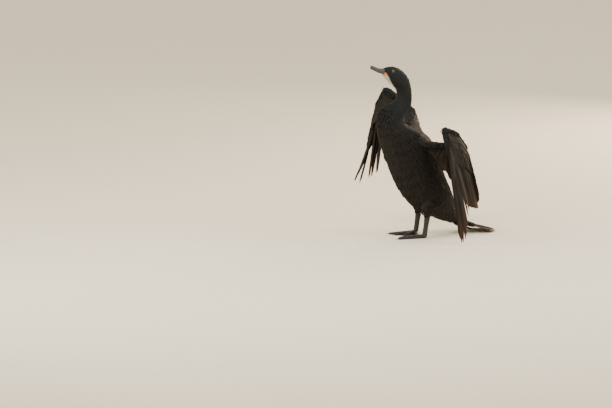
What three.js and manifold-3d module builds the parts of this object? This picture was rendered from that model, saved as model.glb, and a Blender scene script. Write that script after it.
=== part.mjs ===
// A great cormorant, life size, standing with both wings half open to dry.
//
// Millimetres. The bird faces -Y, its left is +X and up is +Z. The floor is Z = 0.
// The flesh is one body lofted from the rump to the bill and parted with thin cuts.
// The wings, legs, bill and eyes are set against it, and the flight feathers are vanes in rows.

import * as THREE from "three";
import { mergeVertices } from "three/addons/utils/BufferGeometryUtils.js";
import Module from "manifold-3d";

const wasm = await Module();
wasm.setup();

// Driving dimensions

const gap = 0.3; // clearance between neighbouring pieces
const bodySides = 18; // points round a section of the trunk
const bodyRings = 38; // sections from rump to bill

const headTurn = 12; // degrees, the head looks a little to its left
const turnAxisY = -80; // the upright axis that the head turns about
const turnStartZ = 440; // the neck starts to twist here
const turnEndZ = 530; // and carries the whole turn from here up

const eyeRadius = 6;
const eyePlace = [14.6, -124, 559.5];
const lidRadius = 6.1;
const lidThickness = 1.1;

const legX = 45; // half the distance between the legs
const ankleTopZ = 66; // feathers end and the bare shank starts
const footTopZ = 17; // the shank ends on the foot
const shankLean = 8; // how far the shank's top lies behind its foot
const webThickness = 1.6;
const clawLength = 11;

// How far back each foot stands, and its toes from the hind toe to the outer one.
// Angles are degrees from straight ahead towards the bird's left.
const feet = {
  left: {
    side: 1,
    y: -8,
    toes: [
      { angle: -80, length: 40 },
      { angle: -42, length: 72 },
      { angle: -25, length: 90 },
      { angle: -9, length: 102 },
    ],
  },
  right: {
    side: -1,
    y: 12,
    toes: [
      { angle: 62, length: 40 },
      { angle: 17, length: 70 },
      { angle: -4, length: 88 },
      { angle: -22, length: 100 },
    ],
  },
};

const tailCutY = 118;
const tailCutZ = 52;
const tailFeathers = 14;
const tailFan = 25; // degrees to each side
const tailLength = 165;
const tailRootY = 134;
const tailRootZ = 43;
const tailRootHalf = 15;

// Sections of the trunk from the rump to the bill: the belly, breast or throat point (y, z),
// the back, nape or crown point (y, z), and the half width between them.
const trunk = [
  [148, 33, 154, 41, 11],
  [128, 32, 149, 50, 22],
  [105, 38, 141, 62, 32],
  [76, 48, 135, 78, 42],
  [44, 60, 129, 98, 52],
  [12, 75, 119, 125, 62],
  [-17, 93, 106, 158, 70],
  [-48, 121, 88, 197, 75],
  [-77, 159, 68, 240, 78],
  [-101, 204, 46, 281, 78.5],
  [-122, 255, 20, 319, 76.5],
  [-144, 309, -12, 350, 70],
  [-157, 352, -42, 370, 59],
  [-163, 390, -66, 388, 47],
  [-160, 418, -61, 403, 40],
  [-146, 437, -52, 415, 35],
  [-120, 450, -44, 427, 30],
  [-98, 459, -38, 441, 27],
  [-89, 471, -35, 457, 25.5],
  [-88, 484, -34.5, 477, 25],
  [-93, 496, -36, 497, 25],
  [-103, 505, -39, 514, 25],
  [-116, 513, -46, 532, 25],
  [-129, 522, -62, 550, 24.5],
  [-140, 532, -84, 565, 23],
  [-148, 541, -110, 574, 20],
  [-153, 548, -134, 574, 15.5],
  [-156, 553, -150, 571, 10.5],
  [-158, 557, -157, 567, 6],
];

// The closed bill in the same form: under edge, upper edge and half width, from its root to its tip.
const bill = [
  [-144, 549, -144, 570, 9.2],
  [-152, 550.5, -152, 570.8, 8.6],
  [-165, 554.5, -165, 571.8, 7.3],
  [-180, 560, -180, 576, 6.1],
  [-193, 566, -193, 581, 5.3],
  [-202, 570.3, -202, 584, 4.8],
  [-208, 569.5, -208.5, 582.5, 3.6],
  [-210.5, 567.5, -211.5, 572, 1.4],
];
const mouthPitch = 14; // degrees, the line of the mouth rises towards the tip
const mouthY = -166; // a point on that line
const mouthZ = 563.8;
const gapeY = -131; // the mouth's corner
const hookY = -205; // the lower half ends here, behind the hook

// Landmarks of each wing: joints and the middles of the bones, then the lines the feather tips reach.
const leftWing = {
  seed: 11,
  shoulder: [54, -36, 316],
  elbow: [138, 84, 306],
  forearm: [174, 30, 357],
  wrist: [205, -30, 380],
  hand: [213, -28, 338],
  knuckle: [216, -22, 292],
  dorsal: [0.8, 0.59, 0.11],
  pairing: 0.1,
  sweep: 0.02,
  primaryTips: [
    [223, 14, 34],
    [225, 26, 5],
    [222, 44, 24],
    [216, 52, 63],
    [206, 64, 111],
  ],
  secondaryTips: [
    [190, 71, 120],
    [174, 106, 108],
    [150, 134, 104],
  ],
  tertialTips: [
    [140, 134, 120],
    [124, 112, 168],
    [96, 46, 228],
  ],
};
const rightWing = {
  seed: 23,
  shoulder: [-54, -36, 334],
  elbow: [-148, 54, 394],
  forearm: [-203, 38, 427],
  wrist: [-258, 22, 452],
  hand: [-290, 8, 404],
  knuckle: [-288, -10, 302],
  dorsal: [-0.31, 0.93, -0.19],
  pairing: 0.7,
  sweep: 0.06,
  primaryTips: [
    [-336, -57, 146],
    [-306, -55, 138],
    [-250, -48, 166],
    [-234, -46, 172],
    [-210, -35, 190],
  ],
  secondaryTips: [
    [-200, -10, 222],
    [-165, 24, 222],
    [-132, 70, 228],
  ],
  tertialTips: [
    [-122, 104, 240],
    [-106, 112, 284],
    [-90, 84, 302],
  ],
};

// Small helpers

const at = (x, y, z) => new THREE.Vector3(x, y, z);
const from = (triple) => new THREE.Vector3(...triple);
const lerp = THREE.MathUtils.lerp;
const radians = THREE.MathUtils.degToRad;

// Numbers from 0 to 1 that are the same on every run.
function seeded(seed) {
  let state = seed;
  return () => {
    state = (state * 16807) % 2147483647;
    return state / 2147483647;
  };
}

function curveThrough(points) {
  return new THREE.CatmullRomCurve3(points, false, "catmullrom", 0.5);
}

// Turns a point of the neck or head about the upright axis, more the higher it lies.
function turned(point) {
  const share = THREE.MathUtils.smoothstep(point.z, turnStartZ, turnEndZ);
  const shifted = point.clone().sub(at(0, turnAxisY, 0));
  shifted.applyAxisAngle(at(0, 0, 1), radians(headTurn) * share);
  return shifted.add(at(0, turnAxisY, 0));
}

// Closed surfaces

function geometryFrom(points, index) {
  const geometry = new THREE.BufferGeometry();
  geometry.setAttribute("position", new THREE.Float32BufferAttribute(points.flatMap((p) => [p.x, p.y, p.z]), 3));
  geometry.setIndex(index);
  return geometry;
}

// Six times the volume inside a closed indexed surface, negative if it is inside out.
function signedVolume(points, index) {
  let sum = 0;
  for (let i = 0; i < index.length; i += 3) {
    const [a, b, c] = [points[index[i]], points[index[i + 1]], points[index[i + 2]]];
    sum += a.dot(b.clone().cross(c));
  }
  return sum;
}

function facingOut(points, index) {
  if (signedVolume(points, index) < 0) {
    index.reverse();
  }
  return geometryFrom(points, index);
}

// A closed tube through rings of equal length, with a fan to the middle of each end ring.
function tubeThrough(rings) {
  const sides = rings[0].length;
  const points = rings.flat();
  const index = [];
  for (let r = 0; r < rings.length - 1; r++) {
    for (let s = 0; s < sides; s++) {
      const a = r * sides + s;
      const b = r * sides + ((s + 1) % sides);
      index.push(a, b, b + sides, a, b + sides, a + sides);
    }
  }
  const middle = (ring) => ring.reduce((sum, p) => sum.add(p), at(0, 0, 0)).divideScalar(sides);
  const first = points.push(middle(rings[0])) - 1;
  const last = points.push(middle(rings.at(-1))) - 1;
  const lastRing = (rings.length - 1) * sides;
  for (let s = 0; s < sides; s++) {
    const next = (s + 1) % sides;
    index.push(first, next, s);
    index.push(last, lastRing + s, lastRing + next);
  }
  return facingOut(points, index);
}

// A loft through rows of [lower y, lower z, upper y, upper z, half width], made fatter by grow.
function loft(rows, ringCount, sides, grow = 0, place = (p) => p) {
  const lower = curveThrough(rows.map((row) => at(0, row[0], row[1])));
  const upper = curveThrough(rows.map((row) => at(0, row[2], row[3])));
  const girth = curveThrough(rows.map((row) => at(row[4], 0, 0)));
  const rings = [];
  for (let r = 0; r < ringCount; r++) {
    const t = r / (ringCount - 1);
    const low = lower.getPoint(t);
    const high = upper.getPoint(t);
    const middle = low.clone().add(high).multiplyScalar(0.5);
    const reach = high.clone().sub(middle);
    reach.setLength(reach.length() + grow);
    const half = girth.getPoint(t).x + grow;
    const ring = [];
    for (let s = 0; s < sides; s++) {
      const angle = (2 * Math.PI * s) / sides;
      const point = middle.clone().add(at(half * Math.cos(angle), 0, 0));
      ring.push(place(point.addScaledVector(reach, Math.sin(angle))));
    }
    rings.push(ring);
  }
  return tubeThrough(rings);
}

// A round-ended limb from a to b whose radius runs along a list, flattened along one direction.
function limb(a, b, radii, { sides = 10, flat = 1, flatDirection = at(0, 0, 1) } = {}) {
  const axis = b.clone().sub(a);
  const length = axis.length();
  axis.normalize();
  const across = flatDirection.clone().cross(axis).normalize();
  const up = axis.clone().cross(across);
  const radius = curveThrough(radii.map((r) => at(r, 0, 0)));
  const rings = [];
  const steps = radii.length;
  const ringAt = (along, size) => {
    const centre = a.clone().addScaledVector(axis, along);
    return Array.from({ length: sides }, (_, s) => {
      const angle = (2 * Math.PI * s) / sides;
      const point = centre.clone().addScaledVector(across, size * Math.cos(angle));
      return point.addScaledVector(up, size * flat * Math.sin(angle));
    });
  };
  rings.push(ringAt(-0.8 * radii[0], 0.5 * radii[0]));
  for (let k = 0; k <= steps; k++) {
    rings.push(ringAt((length * k) / steps, radius.getPoint(k / steps).x));
  }
  rings.push(ringAt(length + 0.8 * radii.at(-1), 0.5 * radii.at(-1)));
  return tubeThrough(rings);
}

// Solids and their cuts

function solidOf(geometry) {
  const bare = geometry.clone();
  bare.deleteAttribute("normal");
  bare.deleteAttribute("uv");
  const merged = mergeVertices(bare, 1e-4);
  const mesh = new wasm.Mesh({
    numProp: 3,
    vertProperties: new Float32Array(merged.attributes.position.array),
    triVerts: new Uint32Array(merged.index.array),
  });
  return new wasm.Manifold(mesh);
}

function joined(geometries) {
  return geometries.map(solidOf).reduce((whole, piece) => whole.add(piece));
}

function geometryOf(solid) {
  const mesh = solid.getMesh();
  const geometry = new THREE.BufferGeometry();
  geometry.setAttribute("position", new THREE.BufferAttribute(mesh.vertProperties, 3));
  geometry.setIndex(new THREE.BufferAttribute(mesh.triVerts, 1));
  return geometry;
}

// The largest closed surface, so that no scrap and no sealed hollow stays.
function largest(solid) {
  return solid.decompose().reduce((best, piece) => (piece.volume() > best.volume() ? piece : best));
}

// A large plate that parts a solid, its middle at a point and its faces square to a normal.
function cutPlate(point, normal, thickness = gap, size = 500) {
  const plate = new THREE.BoxGeometry(size, size, thickness);
  plate.applyQuaternion(new THREE.Quaternion().setFromUnitVectors(at(0, 0, 1), normal.clone().normalize()));
  plate.translate(point.x, point.y, point.z);
  return solidOf(plate);
}

function pieceNear(pieces, point) {
  const distance = (piece) => {
    const { min, max } = piece.boundingBox();
    return from(min).add(from(max)).multiplyScalar(0.5).distanceTo(point);
  };
  return pieces.reduce((best, piece) => (distance(piece) < distance(best) ? piece : best));
}

const floorBlock = solidOf(new THREE.BoxGeometry(1400, 1400, 100).translate(0, 0, -50));

// The trunk, parted into its lengths

const trunkSolid = (grow) => solidOf(loft(trunk, bodyRings, bodySides, grow, turned));
const grownTrunk = trunkSolid(gap);

const tailDirection = at(0, 0.75, -0.66);
const trunkPieces = trunkSolid(0)
  .subtract(cutPlate(at(0, tailCutY, tailCutZ), tailDirection))
  .subtract(cutPlate(at(0, -115, 389), at(0, 0, 1)))
  .subtract(cutPlate(at(0, -61, 455), at(0, 0.255, 0.967)))
  .subtract(cutPlate(at(0, -81, 521), at(0, -0.307, 0.952)))
  .decompose();

const torsoSolid = pieceNear(trunkPieces, at(0, -10, 210));
const tailCore = pieceNear(trunkPieces, at(0, 135, 45));
const lowerNeck = pieceNear(trunkPieces, at(0, -100, 420));
const upperNeck = pieceNear(trunkPieces, at(0, -65, 490));
const headCore = pieceNear(trunkPieces, at(0, -110, 550));

// What lies in front of the tail's cut, for trimming the tail feathers clear of it.
const grownTorso = grownTrunk.trimByPlane([0, -0.75, 0.66], -0.75 * tailCutY + 0.66 * tailCutZ - gap / 2);

// Head: lids round each eye, the sockets, and the line of the mouth running back from the bill

function eyeCentre(side) {
  const [x, y, z] = eyePlace;
  return turned(at(side * x, y, z));
}

function eyeAxis(side) {
  return at(side * 0.97, -0.2, 0.14).normalize().applyAxisAngle(at(0, 0, 1), radians(headTurn));
}

function eyeball(side, grow = 0) {
  const ball = new THREE.SphereGeometry(eyeRadius + grow, 10, 8);
  const centre = eyeCentre(side);
  return ball.translate(centre.x, centre.y, centre.z);
}

function lids(side) {
  const ring = new THREE.TorusGeometry(lidRadius, lidThickness, 5, 14);
  ring.applyQuaternion(new THREE.Quaternion().setFromUnitVectors(at(0, 0, 1), eyeAxis(side)));
  const centre = eyeCentre(side).addScaledVector(eyeAxis(side), 3.4);
  return ring.translate(centre.x, centre.y, centre.z);
}

// The parting between the two halves of the bill, which runs back to the mouth's corner.
function mouthCut() {
  const length = gapeY - hookY;
  const parting = new THREE.BoxGeometry(60, length, gap);
  parting.translate(0, (gapeY + hookY) / 2 - mouthY, 0);
  const behindHook = new THREE.BoxGeometry(60, gap, 20);
  behindHook.translate(0, hookY - mouthY, -10 + gap / 2);
  const cut = [parting, behindHook].map((plate) => {
    plate.rotateX(radians(-mouthPitch));
    plate.translate(0, mouthY - turnAxisY, mouthZ);
    plate.rotateZ(radians(headTurn));
    return plate.translate(0, turnAxisY, 0);
  });
  return joined(cut);
}

function makeHead() {
  let head = headCore;
  for (const side of [1, -1]) {
    head = head.add(solidOf(lids(side)));
  }
  for (const side of [1, -1]) {
    head = head.subtract(solidOf(eyeball(side, gap)));
  }
  return head.subtract(mouthCut());
}

// Bill: one form, cut to the head's own surface and parted along the mouth, with two nostril slits

function nostril(side) {
  const slit = new THREE.BoxGeometry(3, 6, 0.9);
  slit.rotateX(radians(-9));
  slit.translate(side * 8.4, -162 - turnAxisY, 567.2);
  slit.rotateZ(radians(headTurn));
  return slit.translate(0, turnAxisY, 0);
}

function makeBill() {
  const halves = solidOf(loft(bill, 13, 12, 0, turned)).subtract(grownTrunk).subtract(mouthCut()).decompose();
  const lower = pieceNear(halves, turned(at(0, -175, 558)));
  let upper = pieceNear(halves, turned(at(0, -185, 578)));
  for (const side of [1, -1]) {
    upper = upper.subtract(solidOf(nostril(side)));
  }
  return { upper, lower };
}

// Feathers

// How the half width runs along a vane, as [share of the length, share of the half width].
const bladeForms = {
  pointed: [[0, 0.12], [0.16, 0.7], [0.45, 1], [0.86, 0.7], [1, 0.16]],
  rounded: [[0, 0.12], [0.3, 0.95], [0.88, 0.85], [1, 0.35]],
  covert: [[0, 0.12], [0.5, 1], [0.85, 0.8], [1, 0.3]],
};

// One feather as a closed thin blade, split into triangles alike on its two faces.
// It bows up between root and tip, sweeps to one side, and its edge is raised by the lap angle.
function vane({ root, tip, up, width, thick, form, bow = 0, sweep = 0, lap = 0 }) {
  const axis = tip.clone().sub(root);
  const length = axis.length();
  axis.normalize();
  const face = up.clone().addScaledVector(axis, -up.dot(axis)).normalize();
  face.applyAxisAngle(axis, lap);
  const side = axis.clone().cross(face);
  const points = [];
  for (const [share, fullness] of bladeForms[form]) {
    const bend = length * 4 * share * (1 - share);
    const centre = root.clone().addScaledVector(axis, length * share);
    centre.addScaledVector(face, bow * bend).addScaledVector(side, sweep * bend);
    const half = (width / 2) * fullness;
    const rise = (thick / 2) * lerp(1, 0.6, share);
    for (const [across, high] of [[-half, rise], [half, rise], [half, -rise], [-half, -rise]]) {
      points.push(centre.clone().addScaledVector(side, across).addScaledVector(face, high));
    }
  }
  const [leftTop, rightTop, rightUnder, leftUnder] = [0, 1, 2, 3];
  const index = [leftTop, rightUnder, rightTop, leftTop, leftUnder, rightUnder];
  const steps = bladeForms[form].length - 1;
  for (let k = 0; k < steps; k++) {
    const a = 4 * k;
    const b = a + 4;
    index.push(a + leftTop, a + rightTop, b + rightTop, a + leftTop, b + rightTop, b + leftTop);
    index.push(a + leftUnder, b + rightUnder, a + rightUnder, a + leftUnder, b + leftUnder, b + rightUnder);
    index.push(a + rightTop, a + rightUnder, b + rightUnder, a + rightTop, b + rightUnder, b + rightTop);
    index.push(a + leftUnder, a + leftTop, b + leftTop, a + leftUnder, b + leftTop, b + leftUnder);
  }
  const end = 4 * steps;
  index.push(end + leftTop, end + rightTop, end + rightUnder, end + leftTop, end + rightUnder, end + leftUnder);
  return facingOut(points, index);
}

// A row of vanes from a root line to a tip line. Neighbours can be drawn together in pairs,
// as the outer primaries stand. Each root and tip is raised off the row's surface.
function featherRow(roots, tips, shape) {
  const { count, dorsal, random, rootRise = 0, tipRise = 0, pairing = 0, jitter = 3 } = shape;
  return Array.from({ length: count }, (_, k) => {
    const t = k / (count - 1);
    const pairMiddle = Math.min(1, (2 * Math.floor(k / 2) + 0.5) / (count - 1));
    const root = roots.getPoint(t);
    const tip = tips.getPoint(lerp(t, pairMiddle, pairing));
    tip.addScaledVector(tip.clone().sub(root).normalize(), jitter * (random() - 0.7));
    const along = roots.getTangent(t).add(tips.getTangent(t));
    const up = along.clone().cross(tip.clone().sub(root)).normalize();
    const sense = Math.sign(up.dot(dorsal));
    up.multiplyScalar(sense);
    root.addScaledVector(up, rootRise);
    tip.addScaledVector(up, tipRise);
    const wide = shape.width * (0.95 + 0.1 * random());
    const sweep = (shape.sweep ?? 0) * sense * (1 - t);
    return vane({ ...shape, root, tip, up, width: wide, sweep, lap: sense * shape.lap });
  });
}

// Each shorter row starts on the same bones, and its tips lie part of the way to the long ones.
function partWay(roots, tips, share, steps = 4) {
  const points = [];
  for (let k = 0; k <= steps; k++) {
    points.push(roots.getPoint(k / steps).lerp(tips.getPoint(k / steps), share));
  }
  return curveThrough(points);
}

// The skin that fills the angle between the upper arm and the forearm, as a thick triangle.
function armWeb(corners, dorsal, thickness) {
  const points = [1, -1].flatMap((face) =>
    corners.map((corner) => corner.clone().addScaledVector(dorsal, (face * thickness) / 2)),
  );
  return facingOut(points, [0, 1, 2, 3, 5, 4, 0, 4, 1, 0, 3, 4, 1, 5, 2, 1, 4, 5, 2, 3, 0, 2, 5, 3]);
}

function makeWing(marks) {
  const random = seeded(marks.seed);
  const shoulder = from(marks.shoulder);
  const elbow = from(marks.elbow);
  const forearm = from(marks.forearm);
  const wrist = from(marks.wrist);
  const hand = from(marks.hand);
  const knuckle = from(marks.knuckle);
  const dorsal = from(marks.dorsal).normalize();
  const upperArm = shoulder.clone().lerp(elbow, 0.2);
  const flat = { sides: 6, flat: 0.75, flatDirection: dorsal };

  const handLine = curveThrough([knuckle, hand, wrist]);
  const forearmLine = curveThrough([wrist, forearm, elbow]);
  const upperArmLine = curveThrough([elbow, upperArm]);
  const primaryTips = curveThrough(marks.primaryTips.map(from));
  const secondaryTips = curveThrough(marks.secondaryTips.map(from));
  const tertialTips = curveThrough(marks.tertialTips.map(from));

  const row = (roots, tips, shape) => featherRow(roots, tips, { dorsal, random, ...shape });
  const quill = { thick: 0.9, bow: 0.008, lap: 0.2 };
  const over = { thick: 0.9, form: "covert", bow: 0.02, lap: 0.14, jitter: 4 };
  const pieces = [
    limb(shoulder, elbow, [14, 12, 11], flat),
    limb(elbow, forearm, [12, 11], flat),
    limb(forearm, wrist, [11, 10], flat),
    limb(wrist, hand, [10, 8], flat),
    limb(hand, knuckle, [8, 5], flat),
    armWeb([shoulder.clone().lerp(elbow, 0.5), elbow, wrist], dorsal, 7),
    ...row(handLine, primaryTips, {
      ...quill, count: 10, width: 23, form: "pointed", pairing: marks.pairing, sweep: marks.sweep,
    }),
    ...row(forearmLine, secondaryTips, { ...quill, count: 8, width: 38, form: "rounded" }),
    ...row(upperArmLine, tertialTips, { ...quill, count: 5, width: 40, form: "rounded" }),
    ...row(handLine, partWay(handLine, primaryTips, 0.36), {
      ...over, count: 4, width: 24, rootRise: 4.5, tipRise: 6.5,
    }),
    ...row(forearmLine, partWay(forearmLine, secondaryTips, 0.44), {
      ...over, count: 5, width: 44, rootRise: 5, tipRise: 8,
    }),
    ...row(forearmLine, partWay(forearmLine, secondaryTips, 0.22), {
      ...over, count: 4, width: 48, rootRise: 7, tipRise: 12.5,
    }),
    ...row(upperArmLine, partWay(upperArmLine, tertialTips, 0.42), {
      ...over, count: 3, width: 48, rootRise: 5, tipRise: 9,
    }),
    ...row(forearmLine, partWay(forearmLine, secondaryTips, 0.34), {
      ...over, count: 3, width: 50, rootRise: -5, tipRise: -7, bow: -0.02,
    }),
  ];
  return joined(pieces).subtract(grownTrunk);
}

function makeTail() {
  const random = seeded(37);
  const dorsal = at(0, 0.25, 0.97);
  const roots = curveThrough([
    at(tailRootHalf, tailRootY, tailRootZ),
    at(-tailRootHalf, tailRootY, tailRootZ),
  ]);
  const fanTips = (reach, height, shortening) => {
    const tips = [];
    for (let k = -3; k <= 3; k++) {
      const angle = radians((-tailFan * k) / 3);
      const length = reach * (1 - shortening * (k / 3) ** 2);
      tips.push(at(length * Math.sin(angle), tailRootY - 16 + length * Math.cos(angle), height));
    }
    return curveThrough(tips);
  };
  const row = (tips, shape) => featherRow(roots, tips, { dorsal, random, ...shape });
  const pieces = [
    ...row(fanTips(tailLength, -0.5, 0.16), {
      count: tailFeathers, width: 19, thick: 0.9, form: "rounded", bow: 0.012, lap: 0.24, jitter: 9,
    }),
    ...row(fanTips(72, 30, 0.1), {
      count: 4, width: 25, thick: 0.9, form: "covert", rootRise: 5, tipRise: 5, bow: 0.02, lap: 0.14,
    }),
    ...row(fanTips(64, 12, 0.1), {
      count: 4, width: 25, thick: 0.9, form: "covert", rootRise: -5, tipRise: -4, bow: -0.02, lap: 0.14,
    }),
  ];
  return joined(pieces).add(tailCore).subtract(grownTorso).subtract(floorBlock);
}

// Legs

function shankY(foot, z) {
  return foot.y + (shankLean * (z - footTopZ)) / (ankleTopZ - footTopZ);
}

function legTube(foot) {
  const sections = [
    [90, 14, 10],
    [ankleTopZ + 4, 9.5, 11],
    [ankleTopZ - 8, 7.2, 9.6],
    [38, 6.2, 8.6],
    [footTopZ + 2, 6.8, 8.8],
    [5, 7.5, 8.5],
  ];
  const rings = [];
  const shape = curveThrough(sections.map(from));
  const steps = 8;
  const sides = 10;
  for (let k = 0; k <= steps; k++) {
    const { x: z, y: halfX, z: halfY } = shape.getPoint(k / steps);
    const ring = Array.from({ length: sides }, (_, s) => {
      const angle = (2 * Math.PI * s) / sides;
      return at(foot.side * legX + halfX * Math.cos(angle), shankY(foot, z) + halfY * Math.sin(angle), z);
    });
    rings.push(ring);
  }
  return solidOf(tubeThrough(rings));
}

function makeLeg(foot) {
  const x = foot.side * legX;
  const parts = legTube(foot)
    .subtract(cutPlate(at(0, 0, ankleTopZ), at(0, 0, 1)))
    .subtract(cutPlate(at(0, 0, footTopZ), at(0, 0, 1)))
    .decompose();
  const upper = pieceNear(parts, at(x, foot.y, 78));
  const shank = pieceNear(parts, at(x, foot.y, 42));
  const lower = pieceNear(parts, at(x, foot.y, 10));
  const hip = at(foot.side * 42, lerp(foot.y, 0, 0.6) + 16, 118);
  const ankle = at(x, shankY(foot, ankleTopZ), ankleTopZ + 10);
  const drumstick = solidOf(limb(hip, ankle, [33, 26, 12], { sides: 14 }));
  const blockHeight = 100;
  const belowAnkle = cutPlate(at(0, 0, ankleTopZ + (gap - blockHeight) / 2), at(0, 0, 1), blockHeight);
  const thigh = upper.add(drumstick.subtract(belowAnkle)).subtract(grownTrunk);
  return { thigh, shank, lower };
}

// Feet: four toes, the outer one longest, joined by one web, all pressed flat on the floor

function toeLine(foot, toe) {
  const direction = at(Math.sin(radians(toe.angle)), -Math.cos(radians(toe.angle)), 0);
  const start = at(foot.side * legX, foot.y, 7.5);
  const end = start.clone().addScaledVector(direction, toe.length - clawLength);
  end.z = 3.2;
  return { start, end, direction };
}

function toeSolid(foot, toe) {
  const { start, end } = toeLine(foot, toe);
  return limb(start, end, [7.5, 5.4, 3.8], { sides: 6, flat: 0.9 });
}

function webPlate(foot) {
  const hub = at(foot.side * legX, foot.y + 3, 0);
  const ends = foot.toes.map((toe) => toeLine(foot, toe).end);
  const shape = new THREE.Shape();
  shape.moveTo(hub.x, hub.y);
  shape.lineTo(ends[0].x, ends[0].y);
  for (let k = 1; k < ends.length; k++) {
    const middle = ends[k - 1].clone().add(ends[k]).multiplyScalar(0.5).lerp(hub, 0.16);
    shape.quadraticCurveTo(middle.x, middle.y, ends[k].x, ends[k].y);
  }
  shape.closePath();
  return new THREE.ExtrudeGeometry(shape, { depth: webThickness + 1, bevelEnabled: false, curveSegments: 2 })
    .translate(0, 0, -1);
}

// A claw is a short bent cone that grows from the toe's end and stops just above the floor.
function clawGeometry(foot, toe, grow = 0) {
  const { end, direction } = toeLine(foot, toe);
  const across = at(-direction.y, direction.x, 0);
  const steps = 3;
  const sides = 6;
  const rings = [];
  for (let k = 0; k <= steps; k++) {
    const share = k / steps;
    const centre = end.clone().addScaledVector(direction, clawLength * share);
    centre.z = 3.4 + 1.6 * Math.sin(Math.PI * share) - 2.5 * share;
    const radius = lerp(2.4, 0.45, share) + grow;
    const ring = Array.from({ length: sides }, (_, s) => {
      const angle = (2 * Math.PI * s) / sides;
      const point = centre.clone().addScaledVector(across, radius * Math.cos(angle));
      return point.add(at(0, 0, radius * Math.sin(angle)));
    });
    rings.push(ring);
  }
  return tubeThrough(rings);
}

function makeFoot(foot, lower) {
  const blockHeight = 100;
  const aboveFoot = cutPlate(at(0, 0, footTopZ + (blockHeight - gap) / 2), at(0, 0, 1), blockHeight);
  const pieces = [webPlate(foot), ...foot.toes.map((toe) => toeSolid(foot, toe))];
  let solid = joined(pieces).subtract(aboveFoot).add(lower);
  for (const toe of foot.toes) {
    solid = solid.subtract(solidOf(clawGeometry(foot, toe, gap)));
  }
  return solid.subtract(floorBlock);
}

// Assembly

const colours = {
  plumage: { color: 0x1d1b18, roughness: 0.6, metalness: 0 },
  flight: { color: 0x33261b, roughness: 0.6, metalness: 0 },
  horn: { color: 0x55565c, roughness: 0.45, metalness: 0 },
  claw: { color: 0x1a1816, roughness: 0.4, metalness: 0 },
  bareSkin: { color: 0x2a2826, roughness: 0.55, metalness: 0 },
  eye: { color: 0x1f6b57, roughness: 0.1, metalness: 0 },
};

const cormorant = new THREE.Group();
cormorant.name = "cormorant";

function addNode(name, solid, finish) {
  const mesh = new THREE.Mesh(geometryOf(largest(solid)), new THREE.MeshStandardMaterial(colours[finish]));
  mesh.name = name;
  cormorant.add(mesh);
}

addNode("torso", torsoSolid, "plumage");
addNode("neck_lower", lowerNeck, "plumage");
addNode("neck_upper", upperNeck, "plumage");
addNode("head", makeHead(), "plumage");
const { upper: upperBill, lower: lowerBill } = makeBill();
addNode("bill_upper", upperBill, "horn");
addNode("bill_lower", lowerBill, "horn");
addNode("tail", makeTail(), "flight");
addNode("wing_left", makeWing(leftWing), "flight");
addNode("wing_right", makeWing(rightWing), "flight");

for (const [word, foot] of Object.entries(feet)) {
  addNode(`eye_${word}`, solidOf(eyeball(foot.side)), "eye");
  const { thigh, shank, lower } = makeLeg(foot);
  addNode(`thigh_${word}`, thigh, "plumage");
  addNode(`shank_${word}`, shank, "bareSkin");
  addNode(`foot_${word}`, makeFoot(foot, lower), "bareSkin");
  foot.toes.forEach((toe, k) => {
    addNode(`claw_${word}_${k + 1}`, solidOf(clawGeometry(foot, toe)).subtract(floorBlock), "claw");
  });
}

// The origin goes to the middle of the footprint, on the floor.
const { min, max } = new THREE.Box3().setFromObject(cormorant);
cormorant.position.set(-(min.x + max.x) / 2, -(min.y + max.y) / 2, 0);

export default cormorant;
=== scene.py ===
# %% [markdown]
# A great cormorant that stands and dries its wings, as a still, life-size museum model.
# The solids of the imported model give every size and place, and this script gives the looks:
# a skin, a coat of small feathers over it, the long feathers, the head's details and the feet.
# All lengths are metres, and the bird faces -Y with its left side at +X.

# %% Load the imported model
import math

import bmesh
import bpy
import numpy as np
from mathutils import Matrix, Vector


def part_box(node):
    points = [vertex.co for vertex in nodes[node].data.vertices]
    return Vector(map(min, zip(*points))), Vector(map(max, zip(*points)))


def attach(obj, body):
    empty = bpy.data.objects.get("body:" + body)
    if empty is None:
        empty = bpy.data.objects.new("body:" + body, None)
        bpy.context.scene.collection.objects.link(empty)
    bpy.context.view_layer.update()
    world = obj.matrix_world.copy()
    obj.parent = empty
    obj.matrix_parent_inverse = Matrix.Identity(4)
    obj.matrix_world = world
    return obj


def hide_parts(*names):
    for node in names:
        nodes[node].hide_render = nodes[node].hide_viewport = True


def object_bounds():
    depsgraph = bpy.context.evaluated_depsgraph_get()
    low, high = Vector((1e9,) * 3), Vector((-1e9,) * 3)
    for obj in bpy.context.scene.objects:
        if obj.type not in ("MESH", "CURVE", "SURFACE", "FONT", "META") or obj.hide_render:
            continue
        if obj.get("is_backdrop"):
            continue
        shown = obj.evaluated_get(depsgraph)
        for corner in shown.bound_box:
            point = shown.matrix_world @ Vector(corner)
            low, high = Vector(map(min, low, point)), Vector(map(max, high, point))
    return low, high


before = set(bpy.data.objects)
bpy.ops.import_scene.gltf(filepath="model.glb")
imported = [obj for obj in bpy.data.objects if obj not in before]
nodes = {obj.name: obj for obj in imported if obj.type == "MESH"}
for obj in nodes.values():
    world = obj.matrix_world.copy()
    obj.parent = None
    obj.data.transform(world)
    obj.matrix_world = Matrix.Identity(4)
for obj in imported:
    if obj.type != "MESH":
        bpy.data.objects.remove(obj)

cad_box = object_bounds()
MM = 0.001
print("solids", len(nodes), "box", [round(side, 4) for side in cad_box[1] - cad_box[0]])

# %% [markdown]
# Places on the bird are easiest to give from one fixed point: the floor midway between its feet.
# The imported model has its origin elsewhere, so that point is found from a landmark both share.
# The left eye is a good landmark, because its solid is a small ball with an exact centre.

# %% The bird's own origin
EYE_FROM_ORIGIN = Vector((23.43, -120.0, 559.5)) * MM
eye_low, eye_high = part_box("eye_left")
origin = (Vector(eye_low) + Vector(eye_high)) / 2 - EYE_FROM_ORIGIN
origin.z = 0


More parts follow.
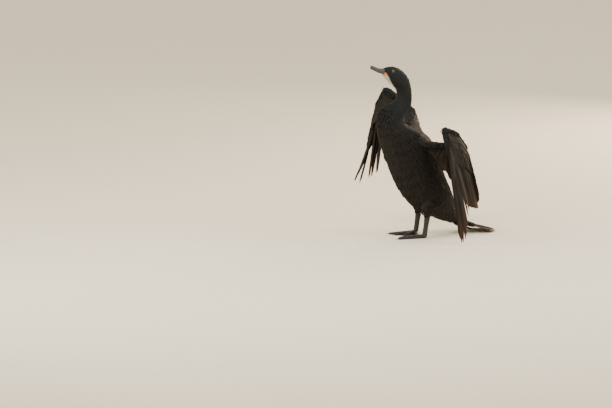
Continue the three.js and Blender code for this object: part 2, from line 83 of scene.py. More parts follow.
def spot(x, y, z):
    """A point given in millimetres from the bird's origin."""
    return origin + Vector((x, y, z)) * MM


print("origin", [round(c, 5) for c in origin])

# %% [markdown]
# The camera stands far off with a long lens, as for a shy bird, so that nothing is foreshortened.
# It looks from the front left and a little above. One pixel of the frame is 3.3 mm at the bird.

# %% Camera
FRAME_WIDTH = 612
FRAME_HEIGHT = 408
PIXEL = 3.3 * MM
ORIGIN_PIXEL = (420, 236)
AZIMUTH = math.radians(60)
ELEVATION = math.radians(9)
LENS = 400
SENSOR = 36

camera_right = Vector((math.cos(AZIMUTH), math.sin(AZIMUTH), 0))
camera_back = Vector((math.sin(AZIMUTH), -math.cos(AZIMUTH), 0)) * math.cos(ELEVATION)
camera_back.z = math.sin(ELEVATION)
camera_up = camera_back.cross(camera_right)
aim = origin + camera_right * (FRAME_WIDTH / 2 - ORIGIN_PIXEL[0]) * PIXEL
aim += camera_up * (ORIGIN_PIXEL[1] - FRAME_HEIGHT / 2) * PIXEL
distance = FRAME_WIDTH * PIXEL * LENS / SENSOR

camera = bpy.data.objects.new("camera", bpy.data.cameras.new("camera"))
bpy.context.scene.collection.objects.link(camera)
camera.data.lens = LENS
camera.data.sensor_width = SENSOR
camera.data.clip_end = 200
camera.location = aim + camera_back * distance
camera.rotation_euler = camera_back.to_track_quat("Z", "Y").to_euler()
bpy.context.scene.camera = camera
print("camera", round(distance, 2), "m away,", round(camera.location.z, 2), "m up")

# %% [markdown]
# A studio sweep keeps the eye on the bird: one pale floor and a pale room of even light.
# A large warm lamp low behind the bird gives its feathers a rim, as a low sun does,
# and two soft lamps on the camera's side open up the dark plumage.

# %% Floor and lamps
FLOOR_HALF = 60
LAMP_DISTANCE = 3
BIRD_MIDDLE_Z = 0.35
ROOM_COLOUR = (1.0, 0.90, 0.72, 1)
ROOM_STRENGTH = 1.1


def add_object(name, mesh):
    piece = bpy.data.objects.new(name, mesh)
    bpy.context.scene.collection.objects.link(piece)
    return piece


def object_from(name, shape):
    """Turns a bmesh into an object and frees it."""
    mesh = bpy.data.meshes.new(name)
    shape.to_mesh(mesh)
    shape.free()
    return add_object(name, mesh)


def add_lamp(name, direction, size, power, colour):
    """A square lamp that faces the bird's middle from LAMP_DISTANCE away."""
    lamp = bpy.data.lights.new(name, "AREA")
    lamp.size = size
    lamp.energy = power
    lamp.color = colour
    holder = add_object(name, lamp)
    toward = Vector(direction).normalized()
    holder.location = origin + Vector((0, 0, BIRD_MIDDLE_Z)) + toward * LAMP_DISTANCE
    holder.rotation_euler = toward.to_track_quat("Z", "Y").to_euler()


floor_shape = bmesh.new()
bmesh.ops.create_grid(floor_shape, x_segments=1, y_segments=1, size=FLOOR_HALF)
floor = object_from("floor", floor_shape)
floor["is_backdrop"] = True

overhead = Vector((0, 0, 1))
key_way = camera_back * 0.8 - camera_right * 0.9 + overhead * 1.1
side_way = camera_back * 0.5 + camera_right * 1.2 + overhead * 0.5
add_lamp("rim lamp", (-0.55, 1.0, 0.28), 1.4, 60, (1.0, 0.80, 0.56))
add_lamp("key lamp", key_way, 2.4, 95, (1.0, 0.95, 0.88))
add_lamp("side lamp", side_way, 2.0, 45, (0.93, 0.96, 1.0))

world = bpy.data.worlds.new("room")
bpy.context.scene.world = world
world.use_nodes = True
background = world.node_tree.nodes["Background"]
background.inputs["Color"].default_value = ROOM_COLOUR
background.inputs["Strength"].default_value = ROOM_STRENGTH

# %% [markdown]
# A finish is a network of shader nodes. Written out one by one they are hard to read,
# so a socket is wrapped in a small class: adding or multiplying two of them adds the Math node.
# Every other node comes from one method, which takes its settings first and then its inputs.

# %% Shader values as Python expressions
class Value:
    """The output of a shader node, which takes part in arithmetic."""

    def __init__(self, finish, socket):
        self.finish = finish
        self.socket = socket

    def __add__(self, other):
        return self.finish.maths("ADD", self, other)

    __radd__ = __add__

    def __mul__(self, other):
        return self.finish.maths("MULTIPLY", self, other)

    __rmul__ = __mul__

    def __sub__(self, other):
        return self.finish.maths("SUBTRACT", self, other)

    def __abs__(self):
        return self.finish.maths("ABSOLUTE", self)


class Finish:
    """A material whose nodes are made by expressions."""

    def __init__(self, name, **fixed):
        self.material = bpy.data.materials.new(name)
        self.material.use_nodes = True
        self.tree = self.material.node_tree
        self.shader = self.tree.nodes["Principled BSDF"]
        self.set(**fixed)

    def set(self, **sockets):
        """Feeds the shader, with each socket's name in lower case and joined by underscores."""
        for name, value in sockets.items():
            self.feed(self.shader.inputs[name.replace("_", " ").title().replace("Ior", "IOR")], value)

    def feed(self, socket, value):
        if isinstance(value, Value):
            self.tree.links.new(value.socket, socket)
            return
        if socket.type == "RGBA" and len(value) == 3:
            value = (*value, 1)
        socket.default_value = value

    def node(self, kind, settings=(), inputs=(), output=0):
        """Adds a node, its settings first, then its inputs by name or number."""
        node = self.tree.nodes.new("ShaderNode" + kind)
        for name, value in dict(settings).items():
            setattr(node, name, value)
        for name, value in dict(inputs).items():
            self.feed(node.inputs[name], value)
        return Value(self, node.outputs[output])

    def maths(self, operation, *values):
        return self.node("Math", {"operation": operation}, dict(enumerate(values)))

    def distance(self, place, centre):
        """How far a place lies from a fixed point, in metres."""
        inputs = {0: place, 1: tuple(centre)}
        return self.node("VectorMath", {"operation": "DISTANCE"}, inputs, output="Value")

    def scaled(self, vector, factor):
        return self.node("VectorMath", {"operation": "SCALE"}, {0: vector, "Scale": factor})

    def larger(self, first, second):
        return self.maths("MAXIMUM", first, second)

    def blend(self, share, first, second):
        """A colour between two others."""
        return self.node("Mix", {"data_type": "RGBA"}, {0: share, 6: first, 7: second}, output=2)

    def ease(self, value, low, high):
        """0 below low, 1 above high and smooth between them. High may be the lower one."""
        inputs = {0: value, 1: low, 2: high}
        return self.node("MapRange", {"interpolation_type": "SMOOTHSTEP"}, inputs)

    def place(self):
        """Where a surface point lies from the bird's origin, the same for every piece."""
        coordinates = self.node("TexCoord", output="Object")
        return self.node("VectorMath", {"operation": "SUBTRACT"}, {0: coordinates, 1: tuple(origin)})

    def axes(self, vector):
        """The three numbers of a vector."""
        return [self.node("SeparateXYZ", (), {0: vector}, output=k) for k in range(3)]

    def stretched(self, vector, factors):
        return self.node("VectorMath", {"operation": "MULTIPLY"}, {0: vector, 1: factors})

    def noise(self, vector, scale, detail=3.0, roughness=0.55):
        """Cloudy variation, about 0.5 on average."""
        inputs = {"Vector": vector, "Scale": scale, "Detail": detail, "Roughness": roughness}
        return self.node("TexNoise", (), inputs, output=0)

    def patch(self, place, centre, half_sizes, soft=0.35):
        """1 inside an ellipsoid given in millimetres from the origin, and 0 outside, with a soft edge."""
        middle = tuple(c * MM for c in centre)
        inverse = tuple(1 / (h * MM) for h in half_sizes)
        shifted = self.node("VectorMath", {"operation": "SUBTRACT"}, {0: place, 1: middle})
        inputs = {0: self.stretched(shifted, inverse)}
        reach = self.node("VectorMath", {"operation": "LENGTH"}, inputs, output="Value")
        return self.ease(reach, 1 + soft, 1 - soft)

    def bump(self, height, strength, depth):
        """Relief from a height, as deep as depth."""
        inputs = {"Strength": strength, "Distance": depth, "Height": height}
        self.set(normal=self.node("Bump", (), inputs))


def ride_as(piece, slot, *replaced):
    """Every piece rides on the one body and may stand for solids. The slot is not used."""
    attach(piece, "root")
    if replaced:
        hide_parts(*replaced)
    return piece


def wear(pieces, finish):
    """Gives every piece of a list the same finish."""
    for piece in pieces:
        piece.data.materials.append(finish.material)


floor_finish = Finish("pale floor", roughness=0.85)
floor_place = floor_finish.node("TexCoord", output="Object")
floor_tone = floor_finish.ease(floor_finish.noise(floor_place, 0.6), 0.3, 0.7)
floor_finish.set(base_color=floor_finish.blend(floor_tone, (0.92, 0.84, 0.70), (0.94, 0.86, 0.72)))
wear([floor], floor_finish)
print("materials", len(bpy.data.materials))

# %% [markdown]
# Under its feathers the bird is one smooth body. The solids part that body into named lengths,
# and straight seams between them would show, so copies of them are fused again into one skin.
# A voxel remesh welds them, a few rounds of smoothing take the facets off,
# and the surface then sinks by the depth of the coat, which is thin on the head.

# %% Marks of the wings and the legs
ARM_MARKS = ("shoulder", "elbow", "forearm middle", "wrist", "hand middle", "knuckle")
WINGS = {  # marks along the bones, the way its back faces, then the tips of each bone's feathers
    "left": {
        "shoulder": (54, -36, 316), "elbow": (138, 84, 306), "forearm middle": (174, 30, 357),
        "wrist": (205, -30, 380), "hand middle": (213, -28, 338), "knuckle": (216, -22, 292),
        "dorsal": (0.8, 0.59, 0.11),
        "hand": [(223, 14, 34), (225, 26, 5), (222, 44, 24), (216, 52, 63), (206, 64, 111)],
        "forearm": [(190, 71, 120), (174, 106, 108), (150, 134, 104)],
        "upper_arm": [(140, 134, 120), (124, 112, 168), (96, 46, 228)],
        "pairing": 0.1, "sweep": 0.02,
    },
    "right": {
        "shoulder": (-54, -36, 334), "elbow": (-148, 54, 394), "forearm middle": (-203, 38, 427),
        "wrist": (-258, 22, 452), "hand middle": (-290, 8, 404), "knuckle": (-288, -10, 302),
        "dorsal": (-0.31, 0.93, -0.19),
        "hand": [
            (-336, -57, 146), (-306, -55, 138), (-250, -48, 166), (-234, -46, 172), (-210, -35, 190),
        ],
        "forearm": [(-200, -10, 222), (-165, 24, 222), (-132, 70, 228)],
        "upper_arm": [(-122, 104, 240), (-106, 112, 284), (-90, 84, 302)],
        "pairing": 0.7, "sweep": 0.06,
    },
}
SIDES = {"left": 1, "right": -1}
LEG_X = 45
FOOT_Y = {"left": -8, "right": 12}
HEAD_TURN = math.radians(12)
TURN_AXIS_Y = -80
TURN_START_Z = 440
TURN_END_Z = 530
EYE_X, EYE_Y, EYE_Z = 14.6, -124, 559.5  # before the head's turn


def turned(x, y, z):
    """A point of the neck or head, in millimetres, after the head's turn to its left."""
    share = min(1, max(0, (z - TURN_START_Z) / (TURN_END_Z - TURN_START_Z)))
    share = share * share * (3 - 2 * share)
    turn = Matrix.Rotation(HEAD_TURN * share, 3, "Z")
    return turn @ Vector((x, y - TURN_AXIS_Y, z)) + Vector((0, TURN_AXIS_Y, 0))


def smooth_path(points, count):
    """Points at even parameters on a smooth curve through a few marks."""
    marks = [Vector(p) for p in points]
    before = marks[0] * 2 - marks[1]
    after = marks[-1] * 2 - marks[-2]
    marks = [before, *marks, after]
    spans = len(points) - 1
    path = []
    for k in range(count):
        t = k / (count - 1) * spans
        span = min(int(t), spans - 1)
        t -= span
        a, b, c, d = marks[span:span + 4]
        path.append(0.5 * (2 * b + (c - a) * t + (2 * a - 5 * b + 4 * c - d) * t ** 2
                           + (3 * b - a - 3 * c + d) * t ** 3))
    return path


def eye_spot(side):
    """The middle of an eye."""
    return spot(*turned(side * EYE_X, EYE_Y, EYE_Z))


# The line inside the trunk from the rump to the bill, in millimetres.
BACKBONE = [
    (0, 150, 37), (0, 108, 80), (0, 52, 118), (0, 8, 178), (0, -38, 252), (0, -66, 318),
    (0, -100, 372), (0, -112, 395), (0, -108, 418), (0, -82, 436), (0, -64, 452), (0, -61, 480),
    (0, -70, 505), (0, -90, 533), (0, -110, 552), (0, -135, 561), (0, -158, 562),
]
backbone = [spot(*turned(*p)) for p in smooth_path(BACKBONE, 81)]

# %% Flesh copied from the solids
SEAM_COVER = 1.0 * MM
FLESH = ["torso", "neck_lower", "neck_upper", "head", "thigh_left", "thigh_right"]
SKIN_VOXEL = 3.0 * MM
SKIN_SMOOTHING = 6
ARM_RADII = (  # millimetres, at the start, middle and end of each length between two marks
    (15, 13, 13),
    (13, 13, 13),
    (13, 13, 13),
    (13, 11, 9),
    (9, 7, 5),
)
ARM_END_REACH = 0.8  # how far a rounded end passes its mark, as a share of the radius
ARM_END_RADIUS = 0.5
RUMP_PATH = ((100, 60), (125, 48), (146, 40))
RUMP_RADII = (31, 23, 13)
TAIL_DORSAL = (0, 0.25, 0.97)


def absorb(shape, single):
    """Adds one form to another and frees it."""
    mesh = bpy.data.meshes.new("scrap")
    single.to_mesh(mesh)
    single.free()
    shape.from_mesh(mesh)
    bpy.data.meshes.remove(mesh)


def copy_of_solids(names, grow=0.0):
    """One bmesh of several solids with their loose triangles merged, each a little larger."""
    shape = bmesh.new()
    for name in names:
        single = bmesh.new()
        single.from_mesh(nodes[name].data)
        bmesh.ops.remove_doubles(single, verts=single.verts, dist=1e-6)
        single.normal_update()
        for vert in single.verts:
            vert.co += vert.normal * grow
        absorb(shape, single)
    return shape


def smooth(shape):
    for face in shape.faces:
        face.smooth = True


def bridged(shape, rings):
    """Joins each ring of vertices to the next, caps both ends and turns the faces outwards."""
    loops = [list({edge for vert in ring for edge in vert.link_edges}) for ring in rings]
    for one, other in zip(loops, loops[1:]):
        bmesh.ops.bridge_loops(shape, edges=one + other)
    for ring in (rings[0], rings[-1]):
        bmesh.ops.contextual_create(shape, geom=ring)
    bmesh.ops.recalc_face_normals(shape, faces=shape.faces)


def tube(shape, centres, radii, sides=16, flat=1.0, flat_direction=(0, 0, 1)):
    """A closed tube along a path."""
    rings = []
    for k, centre in enumerate(centres):
        ahead = centres[min(k + 1, len(centres) - 1)] - centres[max(k - 1, 0)]
        across = Vector(flat_direction).cross(ahead).normalized()
        up = ahead.normalized().cross(across)
        made = bmesh.ops.create_circle(shape, segments=sides, radius=1)["verts"]
        for vert in made:
            x, y, _ = vert.co
            vert.co = centre + across * x * radii[k] + up * y * radii[k] * flat
        rings.append(made)
    bridged(shape, rings)


def absorb_tube(shape, centres, radii, **form):
    """Adds a tube to a form that already has others in it."""
    single = bmesh.new()
    tube(single, centres, radii, **form)
    absorb(shape, single)


def apply_modifier(piece, kind, **settings):
    """Adds a modifier, bakes it into the mesh and takes it off again."""
    modifier = piece.modifiers.new(kind.lower(), kind)
    for name, value in settings.items():
        setattr(modifier, name, value)
    result = bpy.data.meshes.new_from_object(piece.evaluated_get(bpy.context.evaluated_depsgraph_get()))
    piece.modifiers.clear()
    old = piece.data
    piece.data = result
    bpy.data.meshes.remove(old)


def fused(name, shape, voxel, smooth_rounds):
    """Welds overlapping closed forms into one surface without facets."""
    piece = object_from(name, shape)
    apply_modifier(piece, "REMESH", mode="VOXEL", voxel_size=voxel, use_smooth_shade=True)
    apply_modifier(piece, "SMOOTH", factor=0.5, iterations=smooth_rounds)
    return piece


flesh = copy_of_solids(FLESH, SEAM_COVER)
for wing in WINGS.values():
    marks = [spot(*wing[key]) for key in ARM_MARKS]
    for radii, start, end in zip(ARM_RADII, marks, marks[1:]):
        centres = [start.lerp(end, k / 2) for k in range(3)]
        radii = [r * MM for r in radii]
        ahead = (end - start).normalized() * ARM_END_REACH
        centres = [centres[0] - ahead * radii[0], *centres, centres[-1] + ahead * radii[-1]]
        radii = [radii[0] * ARM_END_RADIUS, *radii, radii[-1] * ARM_END_RADIUS]
        absorb_tube(flesh, centres, radii, flat=0.8, flat_direction=wing["dorsal"])
rump_centres = [spot(0, *point) for point in RUMP_PATH]
absorb_tube(flesh, rump_centres, [r * MM for r in RUMP_RADII], flat=0.5, flat_direction=TAIL_DORSAL)
skin = fused("skin", flesh, SKIN_VOXEL, SKIN_SMOOTHING)
print("skin", len(skin.data.polygons), "faces")

# %% [markdown]
# The coat is deepest on the breast and back and hardly there on the face.
# How far forward a point lies on the bird is read along the backbone, from 0 at the rump
# to 1 at the bill, and the angle round it gives the other coordinate. Together they unroll the skin.

# %% The skin's coordinates and the coat's depth
backbone_array = np.array([tuple(p) for p in backbone])
COAT_DEPTH = [(0.0, 2.0), (0.55, 2.2), (0.70, 0.9), (0.84, 0.4), (0.93, 0.3), (1.0, 0.2)]  # share, mm
THIN_COAT_DEPTH = 0.5 * MM  # on the wings' arms and round the ankles
ANKLE_Z = 80 * MM
TRUNK_HALF = 82 * MM
RUMP_SHARE = 0.12  # the low rump is not an ankle


def nearest_on(line, points):
    """For each point: the nearest place on a line, its share of the way, the way ahead, how far off."""
    starts = line[:-1]
    steps = line[1:] - starts
    lengths = (steps ** 2).sum(1)
    best = np.full(len(points), np.inf)
    share = np.zeros(len(points))
    nearest = np.zeros_like(points)
    ahead = np.zeros_like(points)
    for k, (start, step, length) in enumerate(zip(starts, steps, lengths)):
        t = np.clip(((points - start) @ step) / length, 0, 1)
        foot = start + t[:, None] * step
        apart = ((points - foot) ** 2).sum(1)
        closer = apart < best
        best[closer] = apart[closer]
        share[closer] = (k + t[closer]) / len(steps)
        nearest[closer] = foot[closer]
        ahead[closer] = step / math.sqrt(length)
    return nearest, share, ahead, np.sqrt(best)


def array_of(mesh, collection, attribute, width):
    values = np.empty(len(getattr(mesh, collection)) * width)
    getattr(mesh, collection).foreach_get(attribute, values)
    return values.reshape(-1, width)


points = array_of(skin.data, "vertices", "co", 3)
normals = array_of(skin.data, "vertices", "normal", 3)
_, share, _, _ = nearest_on(backbone_array, points)
depth = np.interp(share, *zip(*COAT_DEPTH)) * MM
depth[(points[:, 2] < ANKLE_Z) & (share > RUMP_SHARE)] = THIN_COAT_DEPTH
depth[abs(points[:, 0] - origin.x) > TRUNK_HALF] = THIN_COAT_DEPTH - SEAM_COVER
depth += SEAM_COVER
skin.data.vertices.foreach_set("co", (points - normals * depth[:, None]).ravel())
skin.data.update()
print("coat depth", round(depth.min() * 1000, 1), "to", round(depth.max() * 1000, 1), "mm")

# %% [markdown]
# A body feather is a thin, slightly cupped leaf. Tens of thousands of them overlap like tiles,
# so each has only a few dozen faces: one leaf is shaped once, and a joined mesh repeats it.
# Each copy keeps three numbers for its finish: across the vane, along it, and one drawn by lot.
# Its map for baking is a tiny patch at its root's place on the unrolled skin.

# %% One small feather and a way to plant many
PATCH = 0.003
LEAF_STATIONS = [(0.0, 0.3), (0.3, 0.85), (0.62, 1.0), (0.86, 0.75), (1.0, 0.25)]  # along, width
LEAF_CUP = 0.16
LEAF_ROOF = 0.12  # how far its sides hang below its middle
LEAF_THICKNESS = 0.035


def leaf_template():
    """The mesh of a closed leaf of unit length and width, with its root at the origin."""
    shape = bmesh.new()
    rings = []
    for along, width in LEAF_STATIONS:
        ring = bmesh.ops.create_circle(shape, segments=4, radius=1)["verts"]
        for vert in ring:
            x, y, _ = vert.co
            height = LEAF_CUP * (0.9 * along - along ** 2) - LEAF_ROOF * width * abs(x)
            vert.co = (x * width * 0.5, along, height + y * LEAF_THICKNESS)
        rings.append(ring)
    bridged(shape, rings)
    mesh = bpy.data.meshes.new("leaf")
    shape.to_mesh(mesh)
    shape.free()
    return mesh


leaf = leaf_template()
leaf_points = array_of(leaf, "vertices", "co", 3)
leaf_loops = np.empty(len(leaf.loops), dtype=int)
leaf.loops.foreach_get("vertex_index", leaf_loops)
leaf_sizes = [len(face.vertices) for face in leaf.polygons]


def plant(name, roots, normals, lies, lengths, widths, lift, maps, random):
    """One joined mesh of leaves. lift is how far a leaf's tip rises, as a share of its length."""
    count = len(roots)
    sides = np.cross(lies, normals)
    x, y, z = leaf_points.T
    points = (roots[:, None] + sides[:, None] * (x[None, :, None] * widths[:, None, None])
              + lies[:, None] * (y[None, :, None] * lengths[:, None, None])
              + normals[:, None] * ((z + lift[:, None] * y)[:, :, None] * lengths[:, None, None]))
    mesh = bpy.data.meshes.new(name)
    mesh.vertices.add(count * len(leaf_points))
    mesh.vertices.foreach_set("co", points.ravel())
    offsets = np.arange(count) * len(leaf_points)
    mesh.loops.add(count * len(leaf_loops))
    mesh.loops.foreach_set("vertex_index", (offsets[:, None] + leaf_loops).ravel())
    sizes = np.tile(leaf_sizes, count)
    mesh.polygons.add(len(sizes))
    mesh.polygons.foreach_set("loop_start", np.concatenate([[0], np.cumsum(sizes)[:-1]]))
    mesh.polygons.foreach_set("use_smooth", np.ones(len(sizes), dtype=bool))
    mesh.update(calc_edges=True)
    vane = np.stack([np.broadcast_to(2 * x, (count, len(x))), np.broadcast_to(y, (count, len(x))),
                     np.broadcast_to(random.random(count)[:, None], (count, len(x)))], -1)
    mesh.attributes.new("vane", "FLOAT_VECTOR", "POINT").data.foreach_set("vector", vane.ravel())
    patch = np.stack([x, y - 0.5], -1)[leaf_loops] * PATCH
    mesh.uv_layers.new(name="OFBake").data.foreach_set("uv", (maps[:, None] + patch).ravel())
    return add_object(name, mesh)


# %% [markdown]
# Roots are strewn over the skin at random but never closer than a wanted spacing,
# which is small on the face and wide on the back. A grid of cells makes the test quick.
# The seed is fixed, so the coat is the same on every run.

# %% Strewing roots over a surface
TRIES = 9  # points drawn for each that is wanted
NEIGHBOURS = [(i, j, k) for i in (-1, 0, 1) for j in (-1, 0, 1) for k in (-1, 0, 1)]


def scattered(mesh, spacing_at, random):
    """Far too many points on a mesh, with their normals and the spacing wanted there."""
    mesh.calc_loop_triangles()
    corners = np.empty(len(mesh.loop_triangles) * 3, dtype=int)
    mesh.loop_triangles.foreach_get("vertices", corners)
    corners = corners.reshape(-1, 3)
    places = array_of(mesh, "vertices", "co", 3)
    normals = array_of(mesh, "vertices", "normal", 3)
    a, b, c = (places[corners[:, k]] for k in range(3))
    areas = np.linalg.norm(np.cross(b - a, c - a), axis=1) / 2
    wanted = spacing_at((a + b + c) / 3)
    expected = np.where(wanted > 0, areas / np.maximum(wanted, 1e-6) ** 2, 0) * TRIES
    chosen = np.repeat(np.arange(len(areas)), random.poisson(expected))
    random.shuffle(chosen)
    u, v = random.random((2, len(chosen)))
    past = u + v > 1
    u, v = np.where(past, 1 - u, u), np.where(past, 1 - v, v)
    w = 1 - u - v
    first, second, third = corners[chosen].T
    w, u, v = w[:, None], u[:, None], v[:, None]
    points = places[first] * w + places[second] * u + places[third] * v
    tilts = normals[first] * w + normals[second] * u + normals[third] * v
    tilts /= np.linalg.norm(tilts, axis=1, keepdims=True)
    return points, tilts, wanted[chosen]


def thinned(points, spacing):
    """The numbers of the points that keep their spacing from all points kept before them."""
    cell = float(spacing.max())
    cells = {}
    kept = []
    keys = np.floor(points / cell).astype(int).tolist()
    for number, (key, place, apart) in enumerate(zip(keys, points.tolist(), spacing.tolist())):
        x, y, z = key
        near = (other for i, j, k in NEIGHBOURS for other in cells.get((x + i, y + j, z + k), ()))
        if all(math.dist(place, other) >= apart for other in near):
            cells.setdefault((x, y, z), []).append(place)
            kept.append(number)
    return kept


# %% [markdown]
# The coat's lie is the way each feather points. On the trunk it runs back along the backbone,
# on the thighs down the leg, and on the wings' arms towards the tips of the long feathers.
# A root belongs to an arm or a thigh where it is near that limb's bone, and else to the trunk.
# The unrolled skin has the trunk on its left and the limbs in four fields on its right.

# %% Lie, length and width of the coat
COAT = {  # share along the trunk: length, width and spacing in millimetres
    0.0: (20, 8.5, 6.0),
    0.22: (22, 10.5, 7.0),
    0.45: (20, 10.5, 6.6),
    0.58: (15, 7.5, 5.0),
    0.68: (10.5, 4.6, 3.6),
    0.80: (7.5, 3.0, 2.5),
    0.90: (5.2, 2.1, 1.8),
    1.0: (3.2, 1.5, 1.35),
}
SWAY = 0.10  # how much neighbours differ in their lie
coat_shares = list(COAT)
coat_values = np.array(list(COAT.values())) * MM
ARM_COAT = np.array((15, 8.5, 5.2)) * MM
THIGH_COAT = np.array((14, 6.0, 4.4)) * MM
THIGH_TOP_Z = 118 * MM
TRUNK, ARM, THIGH = 0, 1, 3  # the right arm is one more than the left
ARM_REACH = 19 * MM
ARM_START_X = 74 * MM
THIGH_REACH = 37 * MM
THIGH_SHARE = 0.08  # nothing further back belongs to a thigh
THIGH_PIECE_Z = 96 * MM
HIP, ANKLE = (42, 16, 122), (LEG_X, 6, 60)  # y from the middle of the foot
DOWNWARD = [(60 * MM, 1), (92 * MM, 0.9), (THIGH_TOP_Z, 0.1)]  # height, how far the lie follows the leg
TRUNK_FIELD = (0.02, 0.66)  # left edge and width on the unrolled skin
LIMB_FIELD_LEFT = 0.70
ARM_FIELD = (0.13, 0.10)  # from one arm to the next, and width
THIGH_FIELD = (0.14, 0.12)
TRUNK_ROWS = (0.02, 0.96)  # lower edge and height
ARM_ROWS = (0.05, 0.5)
THIGH_ROWS = (0.62, 0.3)


def field(left_and_width, bottom_and_height, across, up):
    """Places in one field of the unrolled skin, from two shares between 0 and 1."""
    (left, width), (bottom, height) = left_and_width, bottom_and_height
    return np.stack([left + width * across, bottom + height * up], 1)


def trunk_plan(points):
    """The coat as it is where no limb is near: along the trunk."""
    nearest, share, ahead, _ = nearest_on(backbone_array, points)
    out = points - nearest
    angle = np.arctan2(out[:, 0], (out * np.cross(ahead, (1, 0, 0))).sum(1))
    around = angle / (2 * math.pi) + 0.5
    return {
        "share": share,
        "around": around,
        "lies": -ahead,
        "sizes": np.stack([np.interp(share, coat_shares, coat_values[:, k]) for k in range(3)], 1),
        "maps": field(TRUNK_FIELD, TRUNK_ROWS, around, share),
        "part": np.full(len(points), TRUNK),
    }


def add_arm(plan, points, number, side, wing):
    """Changes the plan near the bones of one wing."""
    marks = np.array([spot(*wing[key]) for key in ARM_MARKS])
    trail = np.mean([spot(*p) for p in wing["forearm"]], axis=0) - (marks[1] + marks[2]) / 2
    _, way, _, apart = nearest_on(marks, points)
    member = (apart < ARM_REACH) & ((points[:, 0] - origin.x) * side > ARM_START_X)
    left = LIMB_FIELD_LEFT + ARM_FIELD[0] * number
    plan["part"][member] = ARM + number
    plan["lies"][member] = trail / np.linalg.norm(trail)
    plan["sizes"][member] = ARM_COAT
    plan["maps"][member] = field((left, ARM_FIELD[1]), ARM_ROWS, way, plan["around"])[member]


def add_thigh(plan, points, number, side, foot_y):
    """Changes the plan near one thigh, where the feathers turn down the leg."""
    hip, ankle = (spot(side * x, foot_y + y, z) for x, y, z in (HIP, ANKLE))
    _, way, _, apart = nearest_on(np.array([hip, ankle]), points)
    height = points[:, 2]
    member = (apart < THIGH_REACH) & (height < THIGH_TOP_Z) & (plan["share"] > THIGH_SHARE) & (way > 0.02)
    flank = np.interp(height, *zip(*DOWNWARD))[member, None]
    down = np.array(ankle - hip) / (ankle - hip).length
    turn = np.arctan2(points[:, 0] - hip.x, points[:, 1] - hip.y) / (2 * math.pi) + 0.5
    left = LIMB_FIELD_LEFT + THIGH_FIELD[0] * number
    plan["lies"][member] = plan["lies"][member] * (1 - flank) + down * flank
    plan["part"][member & (height < THIGH_PIECE_Z)] = THIGH
    plan["sizes"][member] = THIGH_COAT
    plan["maps"][member] = field((left, THIGH_FIELD[1]), THIGH_ROWS, turn, way)[member]


def coat_plan(points):
    """For points on the skin: lie, sizes, the place on the unrolled skin and the part they belong to."""
    plan = trunk_plan(points)
    for number, (word, side) in enumerate(SIDES.items()):
        add_arm(plan, points, number, side, WINGS[word])
    for number, (word, side) in enumerate(SIDES.items()):
        add_thigh(plan, points, number, side, FOOT_Y[word])
    return plan


def tangent(lies, normals):
    """The lie laid flat on the surface, at unit length."""
    flat = lies - normals * (lies * normals).sum(1, keepdims=True)
    return flat / np.maximum(np.linalg.norm(flat, axis=1, keepdims=True), 1e-9)


def coat_spacing(points):
    return coat_plan(points)["sizes"][:, 2]


coat_random = np.random.default_rng(5)
roots, root_normals, root_spacing = scattered(skin.data, coat_spacing, coat_random)
kept = thinned(roots, root_spacing)
roots, root_normals = roots[kept], root_normals[kept]
plan = coat_plan(roots)
share, lies, sizes, maps, part = (plan[key] for key in ("share", "lies", "sizes", "maps", "part"))
sway = coat_random.normal(0, SWAY, (len(roots), 1)) * np.cross(root_normals, lies)
lies = tangent(lies + sway, root_normals)
print("roots", len(roots), "by part", np.bincount(part))

# %% [markdown]
# The coat is split into a few pieces by place, each small enough for the export.
# Every feather's root is sunk a little, and its tip rises just enough to lie on the next ones.

# %% The coat's pieces
ROOT_DEPTH = 0.8 * MM
SIZE_RANGE = (0.85, 1.12)
TIP_LIFT = (0.05, 0.13)
BARE_FACE_SHARE = 0.985
BARE_ROUND_EYE = 8.0 * MM
UNDER_THIGH_Z = 72 * MM
COAT_PIECES = {
    "coat_rump": (part == TRUNK) & (share < 0.2),
    "coat_body": (part == TRUNK) & (share >= 0.2) & (share < 0.52),
    "coat_shoulders": (part == TRUNK) & (share >= 0.52) & (share < 0.66),
    "coat_neck": (part == TRUNK) & (share >= 0.66) & (share < 0.84),
    "coat_head": (part == TRUNK) & (share >= 0.84),
    "coat_arm_left": part == ARM,
    "coat_arm_right": part == ARM + 1,
    "coat_thighs": part == THIGH,
}
plumage_pieces = []
# No feathers grow round the eyes, at the bill's root and the gape, or under the thighs' lower ends.
bare = share > BARE_FACE_SHARE
for side in SIDES.values():
    eye_place = np.array(eye_spot(side))
    bare |= np.linalg.norm(roots - eye_place, axis=1) < BARE_ROUND_EYE
bare |= (roots[:, 2] < UNDER_THIGH_Z) & (share > 0.1) & (root_normals[:, 2] < -0.4)

for name, chosen in COAT_PIECES.items():
    chosen = chosen & ~bare
    scale = coat_random.uniform(*SIZE_RANGE, chosen.sum())
    lengths, widths = sizes[chosen, :2].T * scale
    lift = coat_random.uniform(*TIP_LIFT, chosen.sum())
    sunk_roots = (roots - root_normals * ROOT_DEPTH)[chosen]
    piece = plant(name, sunk_roots, root_normals[chosen], lies[chosen], lengths, widths, lift,
                  maps[chosen], coat_random)
    plumage_pieces.append(ride_as(piece, "plumage"))
    print(name, chosen.sum(), "feathers")

# %% [markdown]
# A flight feather has a shaft that starts round and thick and thins to the tip, and a vane on
# each side of it. On the outer primaries the leading vane is narrow. A grid makes the vane:
# its columns are squeezed to the outline, its middle is lifted along the shaft, and the sheet
# is then given its thickness. Small notches in the edge show where the barbs have parted.

